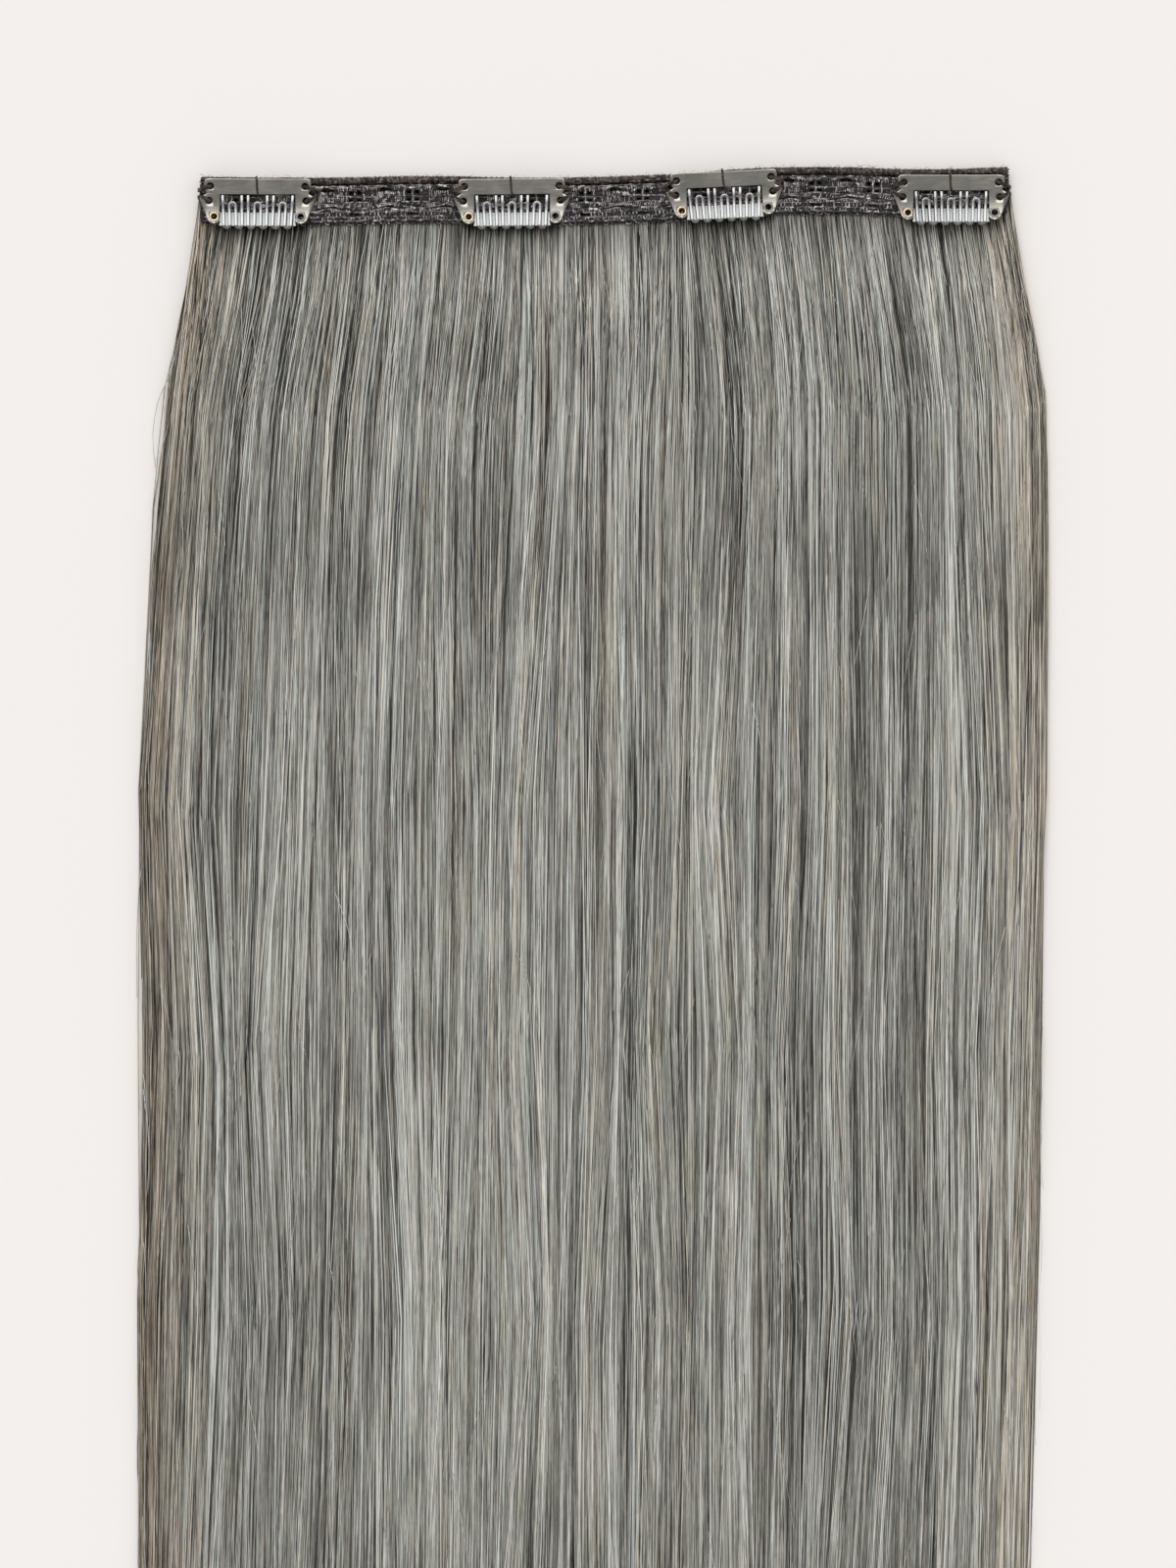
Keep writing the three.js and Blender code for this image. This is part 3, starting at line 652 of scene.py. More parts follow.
def hair_strands(name, count, seed, first, last, radius, layers, rows=9, wild=1.0, dull=0.0, contrast=1.0):
    """Single strands over the hair's body. Each starts at a random share across, under the lace, and runs
    down at that share with the drift of its bundle, slow waves of its own, the sum of strength * sin(2 pi
    reach / length + phase), and a slant that dies away from the band. Its height is hair_top + layer +
    lock_ridge. first and last give its reach as shares down, layers the lowest and highest layer in
    millimetres, wild the strength of its slant, dull how dim it is made as painted shade, and contrast how
    uneven in tone it is.
    Painted shade darkens the strands of lower layers, the roots under the band and the hair just below each
    clip, less so at the hair's two long edges."""
    rng = np.random.default_rng(seed)
    share = rng.uniform(0.003, 0.997, count)
    start = np.full(count, first) + rng.uniform(0, 0.006, count) - 0.012 * at_edge(share)
    end = last - np.abs(rng.normal(0, 0.016, count)) - 0.03 * rng.beta(1, 5, count)
    end -= lock_end(share)
    steps = np.linspace(0, 1, rows) ** 1.5
    down = start[:, None] + (end - start)[:, None] * steps[None, :]
    reach = down * WEFT_LENGTH
    wave = np.zeros_like(down)
    for length, size in STRAND_WAVES:
        phase = rng.uniform(0, 2 * np.pi, count)[:, None]
        strength = rng.normal(0, size, count)[:, None]
        length = length * rng.uniform(0.7, 1.4, count)[:, None]
        wave += strength * np.sin(2 * np.pi * reach / length + phase)
    slant = rng.normal(0, STRAND_SLANT * wild, count)[:, None]
    from_band = np.clip(reach - 10, 0, None)
    near_band = np.exp(-from_band / 30)
    wave += slant * from_band * np.exp(-from_band / SLANT_REACH)
    all_share = share[:, None] + 0 * down
    x, y = hair_place(all_share + BUNDLE_DRIFT * broad_drift(down, all_share), down)
    free = np.clip((down - 0.05) * 4, 0, 1)
    x = x + wave * (0.25 + 0.75 * free) + 0.9 * free * bundle_ridges(down * 0.5, all_share)
    pull = CLUMP_PULL / wild * (1 - 0.7 * near_band)
    x = gathered(x, BROAD_CLUMP, pull, 3 * clump_drift(down, all_share))
    phase = (2 + 4 * near_band) * clump_drift(all_share, down) + 2.1 * seed
    x = gathered(x, FINE_CLUMP, FINE_PULL / wild, phase)
    left, right = hair_side(down)
    slack = (0.5 + 1.5 * rng.beta(1, 9, count)[:, None]) * np.clip((reach - BAND_WIDTH) / 40, 0, 1) - 0.15
    x = np.clip(x, left - slack, right + slack)
    across = np.clip((x - left) / (right - left), 0, 1)
    layer = rng.uniform(*layers, count)[:, None]
    bob = rng.normal(0, 0.22, count)[:, None] * np.sin(reach / 30 + rng.uniform(0, 6.3, count)[:, None])
    z = hair_top(across, down) + layer + lock_ridge(across, down) + bob * free
    rise = np.clip((reach - BAND_WIDTH) / 9, 0, 1)
    z = np.minimum(z, LACE_LOW[2] - 0.35 + 99 * rise)
    z = np.maximum(z, radius * 1.1)
    thick = radius * rng.uniform(0.65, 1.25, count)[:, None] * np.ones((1, rows))
    thick[:, -1] *= 0.35
    thick[:, -2] *= 0.8
    turn = rng.uniform(0, STRAND_TURN, count)
    tone = HAIR_TONE + 0.12 * tone_locks(down, across) + 0.15 * tone_bundles(down, across)
    tone = tone + broad_tone(across)
    tone = tone + 0.08 * np.clip((down - 0.75) / 0.25, 0, 1)
    own_tone = contrast * np.clip(rng.normal(0, 0.23, count), -0.5, 0.42)[:, None]
    # The - 0.03 * near_band is painted shade of the band over the roots.
    tone = tone + own_tone * (1 + 0.45 * near_band) - 0.03 * near_band
    # Painted shadow of the clips on the hair just below them.
    in_shade = under_clips(x) * np.clip((BAND_WIDTH + 7 - reach) / 6, 0, 1)
    tone = tone - 0.22 * in_shade
    # Painted shade: lower layers, the roots near the band's edge and dull make a strand darker; at the two
    # long edges this is eased, as painted light falls between the strands there.
    low, high = layers
    painted_shade = np.clip((high - layer) / (high - low), 0, 1) ** 1.3 + 0 * down
    shaded = np.clip((BAND_WIDTH + 8 - reach) / 10, 0, 1) * 0.95
    painted_shade = np.clip(np.maximum(painted_shade, shaded) + dull, 0, 1) * (1 - 0.8 * at_edge(across))
    warm = np.clip(edge_warmth(across) + rng.normal(0.12, 0.24, count)[:, None], -0.35, 1)
    paths = np.stack([x, y, z], -1)
    thread_piece(name, paths, thick, 3, "hair", HAIR, start_turn=turn, tone=tone, warm=warm, depth=painted_shade)


def hair_under():
    """The strands that show from below: they lie on the table under the hair's body."""
    rng = np.random.default_rng(51)
    count, rows, radius = 1150, 7, 0.17
    share = np.linspace(0.004, 0.996, count) + rng.normal(0, 0.001, count)
    end = 0.985 - np.abs(rng.normal(0, 0.018, count))
    down = 0.006 + (end - 0.006)[:, None] * np.linspace(0, 1, rows)[None] ** 1.3
    all_share = np.clip(share, 0.002, 0.998)[:, None] + 0 * down
    x, y = hair_place(all_share, down)
    free = np.clip((down - 0.03) * 4, 0, 1)
    phase = rng.uniform(0, 6.3, count)[:, None]
    x = x + free * (1.4 * np.sin(down * 21 + phase) * rng.normal(0, 0.5, count)[:, None])
    left, right = hair_side(down)
    x = np.clip(x, left, right)
    z = np.full_like(x, 0.19) + rng.uniform(0, 0.16, count)[:, None]
    thick = radius * rng.uniform(0.8, 1.1, count)[:, None] * np.ones((1, rows))
    turn = rng.uniform(0, STRAND_TURN, count)
    own_tone = np.clip(rng.normal(0, 0.16, count), -0.4, 0.4)[:, None]
    tone = 0.5 + 0.14 * tone_bundles(down, all_share) + own_tone
    warm = np.clip(edge_warmth(all_share) + rng.normal(0.1, 0.25, count)[:, None], -0.4, 1)
    # The strands under the body get painted shade at random, up to half of the deepest.
    tones = {"tone": tone, "warm": warm, "depth": rng.uniform(0, 0.5, count)[:, None]}
    paths = np.stack([x, y, z], -1)
    thread_piece("hair_under", paths, thick, 3, "hair", HAIR, start_turn=turn, **tones)


def stray_hairs():
    """Short broken hairs that lie across the others at a slant, and a few that leave the two long edges."""
    rng = np.random.default_rng(52)
    count, rows = 420, 7
    steps = np.linspace(0, 1, rows)[None, :]
    share = rng.uniform(0.01, 0.99, count)
    edge_count = 44
    share[:edge_count] = np.where(rng.uniform(size=edge_count) < 0.5, 0.004, 0.996)
    length = rng.uniform(9, 38, count)
    at_roots = rng.uniform(size=count) < 0.3
    first = np.where(at_roots, rng.uniform(0.03, 0.12, count), rng.uniform(0.06, 0.93, count))
    down = first[:, None] + (length[:, None] * steps) / WEFT_LENGTH
    x, y = hair_place(share[:, None] + 0 * down, down)
    slant = np.where(rng.uniform(size=count) < 0.5, -1, 1) * rng.uniform(0.06, 0.38, count)
    bend = rng.normal(0, 0.9, count)
    push = 0.5 * slant[:, None] * length[:, None] * steps
    push[:edge_count] *= 0.25
    x = x + push + bend[:, None] * np.sin(np.pi * steps)
    left, right = hair_side(down)
    x = np.clip(x, left - 1.9, right + 1.9)
    across = np.clip((x - left) / (right - left), 0, 1)
    z = hair_top(across, down) + 0.35 + 0.25 * np.sin(np.pi * steps) + lock_ridge(across, down)
    thick = rng.uniform(0.07, 0.12, count)[:, None] * (1 - 0.4 * steps)
    tone = rng.uniform(0.5, 0.95, count)[:, None]
    warm = rng.uniform(-0.3, 0.6, count)[:, None]
    paths = np.stack([x, y, z], -1)
    thread_piece("stray_hairs", paths, thick, 3, "hair", HAIR, tone=tone, warm=warm, depth=0.0)


# Clips


def clip_frames():
    """Each clip's frame, from its comb's hinge: the hinge runs across the clip at the comb's roots."""
    found = []
    for number in range(1, 5):
        joint = next(j for j in frame["joints"] if j["name"] == f"clip_{number}_snap")
        across = -np.array(joint["axis"])
        up = np.cross([0.0, 0.0, 1.0], across)
        base = np.array(joint["pos_m"]) / MM - up * COMB_ROOT
        strip_low, _ = box_mm(f"clip_{number}_grip_strip")
        base[2] = strip_low[2] - bow(0) - curl(STRIP_UP)
        found.append((number, base, across, up))
    return found


def bow(x):
    """The clip's bend along its length."""
    return x * x / (2 * BOW_RADIUS)


def curl(y):
    """The clip's bend up towards its foot."""
    return np.maximum(0, CURL_START - y) ** 2 / (2 * CURL_RADIUS)


def on_clip(points, base, across, up):
    """Points given in a clip's frame, in the weft's frame."""
    points = np.asarray(points, dtype=float)
    return base + points[..., :1] * across + points[..., 1:2] * up + points[..., 2:3] * np.array([0, 0, 1.0])


def rounded_outline(half, corner_points=6):
    """A closed outline with rounded corners, from the corners (x, y, round) of its right half and their
    mirror images, as a list of points: at each corner a quadratic curve between its two sides."""
    corners = [(-x, y, r) for x, y, r in half] + half[::-1]
    count = len(corners)
    points = []
    for i, (x, y, r) in enumerate(corners):
        here = np.array([x, y])
        sides = []
        for other in (corners[i - 1], corners[(i + 1) % count]):
            there = np.array(other[:2])
            share = min(0.45, r / np.linalg.norm(there - here))
            sides.append(here + (there - here) * share)
        for t in np.linspace(0, 1, corner_points):
            points.append((1 - t) ** 2 * sides[0] + 2 * t * (1 - t) * here + t * t * sides[1])
    return points


def circle(x, y, radius, sides=28):
    """Points round a circle."""
    turn = np.arange(sides) * 2 * np.pi / sides
    return [np.array([x + radius * math.cos(a), y + radius * math.sin(a)]) for a in turn]


def stamped_sheet(name, outline, holes, wall, edge, cuts_x, cuts_y):
    """A flat sheet cut to an outline with holes, with rounded edges, as a mesh in the sheet's own plane,
    split along straight lines so that it can be bent."""
    curve = bpy.data.curves.new(name, "CURVE")
    curve.dimensions = "2D"
    curve.fill_mode = "BOTH"
    for loop in (outline, *holes):
        spline = curve.splines.new("POLY")
        spline.points.add(len(loop) - 1)
        flat = np.concatenate([np.array([*p, 0.0, 1.0]) for p in loop])
        spline.points.foreach_set("co", flat)
        spline.use_cyclic_u = True
    curve.extrude = wall / 2 - edge
    curve.bevel_depth = edge
    curve.bevel_resolution = 1
    curve.offset = -edge
    holder = bpy.data.objects.new(name, curve)
    bpy.context.collection.objects.link(holder)
    bpy.context.view_layer.update()
    mesh = bpy.data.meshes.new_from_object(holder)
    bpy.data.objects.remove(holder)
    bm = bmesh.new()
    bm.from_mesh(mesh)
    bmesh.ops.remove_doubles(bm, verts=bm.verts, dist=0.002)
    for axis, places in ((0, cuts_x), (1, cuts_y)):
        for place in places:
            normal = (1, 0, 0) if axis == 0 else (0, 1, 0)
            spot = (place, 0, 0) if axis == 0 else (0, place, 0)
            everything = bm.verts[:] + bm.edges[:] + bm.faces[:]
            bmesh.ops.bisect_plane(bm, geom=everything, plane_co=spot, plane_no=normal)
    bmesh.ops.recalc_face_normals(bm, faces=bm.faces)
    bm.to_mesh(mesh)
    bm.free()
    return mesh


def bent_onto(mesh, level, number_frame, name, node, finish):
    """Bends a flat sheet's mesh as the clip is bent, puts it on its clip and makes it a piece."""
    _, base, across, up = number_frame
    points = np.empty(3 * len(mesh.vertices))
    mesh.vertices.foreach_get("co", points)
    points = points.reshape(-1, 3)
    points[:, 2] += level + bow(points[:, 0]) + curl(points[:, 1])
    mesh = mesh.copy()
    mesh.vertices.foreach_set("co", (on_clip(points, base, across, up) * MM).ravel())
    mesh.polygons.foreach_set("use_smooth", np.ones(len(mesh.polygons), dtype=bool))
    mesh.materials.clear()
    mesh.materials.append(finish)
    mesh.set_sharp_from_angle(angle=math.radians(38))
    piece = bpy.data.objects.new(name, mesh)
    bpy.context.collection.objects.link(piece)
    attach(piece, ROOT)
    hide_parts(node)


def plate_sheet():
    """The stamped plate: a bar with two legs, four sewing holes and two eyelet holes."""
    outline = rounded_outline(
        [
            (EAR_TIP - SHOULDER_INSET, PLATE_TOP, CORNER_ROUND),
            (EAR_TIP - SHOULDER_INSET, SEW_HOLES[0][1] - SEW_HOLE_RADIUS, EDGE_ROUND),
            (EAR_TIP - NOTCH_INSET, (SEW_HOLES[0][1] + SEW_HOLES[1][1]) / 2, EDGE_ROUND),
            (EAR_TIP + EDGE_ROUND / 4, SEW_HOLES[1][1] + EAR_RISE, EDGE_ROUND),
            (EYELET_HALF + EYELET_FLANGE, -PLATE_FOOT, CORNER_ROUND),
            (WINDOW_HALF, -PLATE_FOOT, CORNER_ROUND),
            (WINDOW_HALF, WINDOW_TOP, EDGE_ROUND / 2),
        ]
    )
    holes = []
    for side in (-1, 1):
        for inset, y in SEW_HOLES:
            holes.append(circle(side * (EAR_TIP - inset), y, SEW_HOLE_RADIUS))
        holes.append(circle(side * EYELET_HALF, 0, EYELET_BARREL + 0.1))
    cuts_x, cuts_y = np.linspace(-14, 14, 15), (7.5, 5, 3.8, 2.6, 1.4, 0.2, -1)
    return stamped_sheet("plate", outline, holes, PLATE_WALL, PLATE_ROUNDING, cuts_x, cuts_y)


def strip_sheet():
    """The flat grip strip with its eyelet holes and flared lower corners."""
    end = EYELET_HALF + EYELET_FLANGE
    outline = rounded_outline(
        [
            (end, STRIP_UP, STRIP_UP / 2),
            (end, -STRIP_UP, STRIP_UP / 2),
            (WINDOW_HALF + COMB_SIDE_GAP / 2, -STRIP_UP, EDGE_ROUND / 2),
            (WINDOW_HALF + COMB_SIDE_GAP, -STRIP_DOWN, EDGE_ROUND / 2),
        ]
    )
    holes = [circle(side * EYELET_HALF, 0, EYELET_BARREL + 0.1) for side in (-1, 1)]
    cuts_x, cuts_y = np.linspace(-12, 12, 13), (0.4, -1.0)
    return stamped_sheet("strip", outline, holes, STRIP_WALL, STRIP_ROUNDING, cuts_x, cuts_y)


def eyelet_points(side):
    """A hollow eyelet turned from a profile: a rolled rim on the plate, a barrel and a flange below."""
    low, roll = EYELET_LOW, EYELET_ROLL
    high = PLATE_LEVEL + PLATE_WALL + 0.02
    rolled = np.linspace(-0.3, 2.6, 8)
    rim = [(EYELET_FLANGE - roll + roll * math.cos(a), high + 0.95 * roll * math.sin(a)) for a in rolled]
    profile = [
        (EYELET_BORE, low),
        (EYELET_FLANGE, low),
        (EYELET_FLANGE, low + 0.25),
        (EYELET_BARREL, low + 0.25),
        (EYELET_BARREL, high - 0.05),
        *rim,
        (EYELET_BORE + 0.05, high + 0.1),
    ]
    profile = np.array(profile)
    turn = np.arange(36) * 2 * np.pi / 36
    x = side * EYELET_HALF + profile[:, :1] * np.cos(turn)
    y = profile[:, :1] * np.sin(turn)
    z = profile[:, 1:] + bow(x) + curl(y)
    return np.stack([x, y, z], -1)


def comb_route(loop):
    """The middle line of one comb loop, finely: down a tine, round a lobe, up and over an arch, down, round
    a second lobe and up the last tine."""
    centre = (len(LOOPS) * TINES - 1) / 2
    root_pitch = (WINDOW_HALF - COMB_SIDE_GAP - TINE_WIDTH / 2) / centre
    foot_pitch = root_pitch * COMB_TAPER
    turn = foot_pitch / 2
    lobe_y = -TINE_FOOT + TINE_WIDTH / 2 + turn
    arch_y = ARCH_TOP - TINE_WIDTH / 2 - turn

    def tine_x(tine, y):
        share = (y + TINE_FOOT) / (COMB_ROOT + TINE_FOOT)
        return (loop * TINES + tine - centre) * (foot_pitch + (root_pitch - foot_pitch) * share)

    def straight(tine, start, end, steps):
        return [(tine_x(tine, y), y) for y in np.linspace(start, end, steps, endpoint=False)]

    def half_turn(tine, y, way, steps=12):
        left, right = tine_x(tine, y), tine_x(tine + 1, y)
        middle, half = (left + right) / 2, (right - left) / 2
        angles = np.linspace(0, np.pi, steps, endpoint=False)
        return [(middle - half * math.cos(a), y + way * turn * math.sin(a)) for a in angles]

    return np.array(
        straight(0, COMB_ROOT, lobe_y, 12)
        + half_turn(0, lobe_y, -1)
        + straight(1, lobe_y, arch_y, 7)
        + half_turn(1, arch_y, 1)
        + straight(2, arch_y, lobe_y, 7)
        + half_turn(2, lobe_y, -1)
        + straight(3, lobe_y, COMB_ROOT, 12)
        + [(tine_x(3, COMB_ROOT), COMB_ROOT)]
    )


def comb_height(points):
    """The height of the comb's middle plane: the clip's bends, a step just below the roots, the tines' own
    bow, and a foot that turns down."""
    x, y = points[:, 0], points[:, 1]
    step = np.clip((COMB_ROOT - y) / CRANK_RUN, 0, 1)
    bowed = TINE_BOW * np.clip(TINE_BOW_START - y, 0, TINE_BOW_START - FOOT_BEND) ** 2
    turned_down = FOOT_DROP * np.maximum(FOOT_BEND - y, 0) ** 2
    return COMB_LEVEL + bow(x) + curl(y) + CRANK_RISE * step * step * (3 - 2 * step) + bowed - turned_down


def comb_loop(loop):
    """A comb loop's surface: a rounded flat section carried along its route, with its two root ends
    rounded about the line that the comb turns on."""
    route = comb_route(loop)
    along = np.gradient(route, axis=0)
    along /= np.linalg.norm(along, axis=1, keepdims=True)
    left = np.stack([-along[:, 1], along[:, 0]], -1)
    half, thick = TINE_WIDTH / 2, TINE_WALL / 2
    turn = np.arange(12) * 2 * np.pi / 12 + np.pi / 12
    corner = 0.36
    section_x = np.sign(np.cos(turn)) * np.abs(np.cos(turn)) ** corner * half
    section_z = np.sign(np.sin(turn)) * np.abs(np.sin(turn)) ** corner * thick
    rows = []
    caps = [(thick * math.sin(a), math.cos(a)) for a in np.linspace(1.45, 0.25, 4)]
    places = [(0, lift, share) for lift, share in caps]
    places += [(i, 0.0, 1.0) for i in range(len(route))]
    places += [(len(route) - 1, lift, share) for lift, share in caps[::-1]]
    for i, lift, share in places:
        here = route[i] + np.array([0, lift])
        spots = here[None] + section_x[:, None] * left[i][None]
        z = section_z * share
        rows.append(np.column_stack([spots, z]))
    points = np.array(rows)
    flat = points.reshape(-1, 3)
    flat[:, 2] += comb_height(flat)
    return flat, len(rows), len(turn)


def clip_pieces(sheets, number_frame):
    """All the metal of one clip: plate, strip, two eyelets and the comb's three loops."""
    number, base, across, up = number_frame
    name = f"clip_{number}"
    for sheet, level, skin, node, slot, finish in (
        (sheets[0], COMB_LEVEL, "plate_skin", "plate", "clip_plate", PLATE),
        (sheets[1], STRIP_WALL / 2, "strip_skin", "grip_strip", "grip_strip", STRIP),
    ):
        bent_onto(sheet, level, number_frame, f"{name}_{skin}", f"{name}_{node}", finish)
    for side, word, slot, finish in (
        (-1, "left", "eyelet_brass", BRASS),
        (1, "right", "eyelet_grey", GREY_EYELET),
    ):
        ring = eyelet_points(side)
        rows, columns = ring.shape[:2]
        k = np.arange(columns)
        after, last = (k + 1) % columns, (rows - 1) * columns
        faces = [grid_faces(rows, columns, wrap=True), np.stack([last + k, last + after, after, k], -1)]
        points = on_clip(ring.reshape(-1, 3), base, across, up)
        piece = make_mesh(f"{name}_eyelet_ring_{word}", points, faces, slot, finish)
        piece.data.set_sharp_from_angle(angle=math.radians(50))
        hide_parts(f"{name}_eyelet_{word}")
    for loop, side in enumerate(LOOPS):
        points, rows, columns = comb_loop(loop)
        faces = [
            grid_faces(rows, columns, wrap=True),
            np.arange(columns)[None, ::-1],
            (rows - 1) * columns + np.arange(columns)[None],
        ]
        points = on_clip(points, base, across, up)
        piece = make_mesh(f"{name}_tines_{side}", points, faces, "comb", COMB, body=f"{name}_comb")
        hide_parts(f"{name}_comb_{side}")


# Seam, lace and sewing


SEAM_MIDDLE = (SEAM_HIGH[2] - SEAM_LOW[2]) / 2
CORE_HALF_WIDE, CORE_HALF_HIGH = SEAM_WIDTH / 2 - 0.2, SEAM_MIDDLE - 0.25
SEAM_CORDS = 12
seam_wobble, seam_swell = lattice(SEAM_CORDS, 90, 9), lattice(SEAM_CORDS, 240, 10)


def seam_core():
    """The rolled seam's core, a flattened tube along the band's top edge, thinner at its two ends."""
    rows, sides = 380, 12
    x = np.linspace(BAND_LEFT, BAND_RIGHT, rows)
    turn = np.arange(sides) * 2 * np.pi / sides
    end = np.clip(np.minimum(x - BAND_LEFT, BAND_RIGHT - x) / 0.8, 0.15, 1)[:, None] ** 0.5
    y = band_top(x)[:, None] - SEAM_WIDTH / 2 + CORE_HALF_WIDE * end * np.cos(turn)
    z = SEAM_MIDDLE + CORE_HALF_HIGH * end * np.sin(turn)
    points = np.stack([x[:, None] + 0 * y, y, z], -1).reshape(-1, 3)
    faces = [
        grid_faces(rows, sides, wrap=True)[:, ::-1],
        np.arange(sides)[None],
        (rows - 1) * sides + np.arange(sides)[None, ::-1],
    ]
    core = make_mesh("seam_roll", points, faces, "seam", SEAM)
    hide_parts("weft_seam")


def seam_cords():
    """The loose cords on the seam's core: each winds slowly round it as it runs along it."""
    rows, lay = 400, 70
    rng = np.random.default_rng(8)
    number = np.arange(SEAM_CORDS)[:, None]
    x = np.linspace(BAND_LEFT + 0.25, BAND_RIGHT - 0.25, rows)[None, :] + 0 * number
    share = np.linspace(0, 1, rows)[None, :] + 0 * number
    which = np.linspace(0, 1, SEAM_CORDS)[:, None] + np.zeros((1, rows))
    turn = 2 * np.pi * number / SEAM_CORDS + x * 2 * np.pi / lay + 0.45 * seam_wobble(which, share)
    out = 1 + 0.10 * seam_swell(which, share)
    y = band_top(x) - SEAM_WIDTH / 2 + CORE_HALF_WIDE * out * np.cos(turn)
    z = SEAM_MIDDLE + CORE_HALF_HIGH * out * np.sin(turn)
    radius = rng.uniform(0.26, 0.36, SEAM_CORDS)[:, None] * (1 + 0.22 * seam_swell(share, which))
    z = np.maximum(z, radius + 0.03)
    thread_piece("seam_cords", np.stack([x, y, z], -1), radius, 5, "seam", SEAM)


def seam_whipping():
    """The thread that is whipped round the seam from end to end, over its cords: a flattened coil."""
    turns, turn_rows = 150, 10
    t = np.linspace(0, 1, turns * turn_rows)
    angle = 2 * np.pi * turns * t
    along = BAND_LEFT + 0.5 + (BAND_RIGHT - BAND_LEFT - 1) * t
    x = along + 0.5 * seam_swell(0 * t, t) + 0.35 * np.sin(angle)
    y = band_top(x) - SEAM_WIDTH / 2 + (CORE_HALF_WIDE + 0.22) * np.cos(angle)
    z = np.maximum(SEAM_MIDDLE + (CORE_HALF_HIGH + 0.28) * np.sin(angle), 0.25)
    radius = 0.20 + 0.06 * seam_wobble(0 * t + 0.5, t)
    tone = 0.35 + 0.6 * seam_wobble(0 * t, t)
    path = np.stack([x, y, z], -1)[None]
    thread_piece("seam_whipping", path, radius[None], 5, "seam", SEAM, tone=tone[None])


def end_bindings():
    """The thread that binds the band's two ends: two coils round each end's edge, down from the seam."""
    rows, turns = 150, 9
    t = np.linspace(0, 1, rows)
    wobble = lattice(4, 40, 11)
    paths = []
    for side, end in ((-1, LACE_LOW[0]), (1, LACE_HIGH[0])):
        for coil in range(2):
            angle = 2 * np.pi * (turns - 2 * coil) * t + 2.4 * coil
            loose = 0.22 * wobble(np.full(rows, (side + 1) / 4 + coil / 4), t)
            x = end + side * (0.62 * np.cos(angle) - 0.30 + loose)
            z = LACE_HIGH[2] - 0.45 + 0.72 * np.sin(angle) + 0.4 * loose
            y = band_top(np.clip(x, BAND_LEFT, BAND_RIGHT)) - 0.7 - (7.4 + 1.4 * coil) * t
            paths.append(np.stack([x, y, z], -1))
    thread_piece("end_bindings", np.array(paths), 0.23, 6, "seam", SEAM)


def thread_fuzz():
    """Fine loose fibres that stand off the seam and the lace's lower edge."""
    rng = np.random.default_rng(9)
    count, rows = 620, 5
    steps = np.linspace(0, 1, rows)[None, :]
    x0 = rng.uniform(BAND_LEFT + 0.3, BAND_RIGHT - 0.3, count)
    low = rng.uniform(size=count) < 0.3
    length = rng.uniform(0.6, 1.7, count)[:, None]
    lean = rng.normal(0, 0.75, count)[:, None]
    curl_back = rng.normal(0, 0.5, count)[:, None]
    out = np.where(low, -1, 1)[:, None]
    x = x0[:, None] + length * (lean * steps + curl_back * steps**2)
    start = np.where(low, -BAND_WIDTH + 0.3, rng.uniform(-1.3, -0.15, count))[:, None]
    y = band_top(x) + start + out * length * 0.7 * steps
    rise = rng.uniform(-0.2, 0.8, count)[:, None]
    z = np.where(low, 3.9, rng.uniform(2.4, 3.9, count))[:, None] + rise * length * steps
    z = np.maximum(z, 0.2)
    thick = rng.uniform(0.035, 0.06, count)[:, None] * (1 - 0.4 * steps)
    thread_piece("thread_fuzz", np.stack([x, y, z], -1), thick, 3, "seam", SEAM)


LACE_REPEATS = 14
LACE_START = LACE_LOW[0]
LACE_REPEAT = (LACE_HIGH[0] - LACE_LOW[0]) / LACE_REPEATS
LACE_TOP = LACE_HIGH[2]
# The holes of one repeat, as shares of the repeat and of the band's width: along, down, wide, tall
LACE_HOLES = (
    (0.2, 0.28, 0.2, 0.095),
    (0.6, 0.35, 0.075, 0.085),
    (0.74, 0.35, 0.075, 0.085),
    (0.6, 0.53, 0.075, 0.085),
    (0.74, 0.53, 0.075, 0.085),
    (0.24, 0.63, 0.19, 0.09),
    (0.67, 0.82, 0.17, 0.07),
)


def in_hole(x, down, clear=0.2):
    """Whether a place on the lace lies in one of its holes or nearer to it than clear. down is in
    millimetres from the band's top."""
    along = ((x - LACE_START) / LACE_REPEAT) % 1
    inside = np.zeros(np.shape(x), dtype=bool)
    for a, d, w, t in LACE_HOLES:
        near_x = np.abs(along - a) * LACE_REPEAT < w * LACE_REPEAT / 2 + clear
        near_y = np.abs(down - d * BAND_WIDTH) < t * BAND_WIDTH / 2 + clear
        inside |= near_x & near_y
    return inside


# The lace's long cords: distance down the band, sway, waves in one repeat, where the wave starts, radius
LACE_CORDS = (
    (2.70, 0.10, 6, 0.0, 0.21),
    (3.10, 0.20, 3, 1.5, 0.16),
    (5.58, 0.14, 1, 2.2, 0.19),
    (7.40, 0.25, 1, 0.4, 0.24),
    (8.45, 0.50, 1, 2.9, 0.24),
    (9.20, 0.38, 2, 1.9, 0.21),
    (9.90, 0.06, 3, 0.3, 0.19),
    (11.2, 0.06, 3, 2.0, 0.19),
    (12.2, 0.12, 4, 1.0, 0.21),
)
# The rows of stitches: distance down the band, height, pitch, slant, where in a repeat they start and stop
LACE_STITCHES = (
    (3.50, 1.00, 0.62, 0.25, 0.34, 1.06),
    (5.00, 1.50, 0.50, 0.10, 0.96, 1.49),
    (6.55, 1.50, 0.52, -0.15, 0.96, 1.49),
    (8.05, 1.10, 0.60, -0.35, 0.36, 1.10),
    (9.50, 0.95, 0.72, 0.35, 0.00, 1.00),
    (10.6, 1.20, 1.05, 0.00, 0.00, 1.00),
    (11.75, 0.80, 0.80, 0.20, 0.00, 1.00),
)
LACE_POSTS = (0.52, 0.67, 0.82)


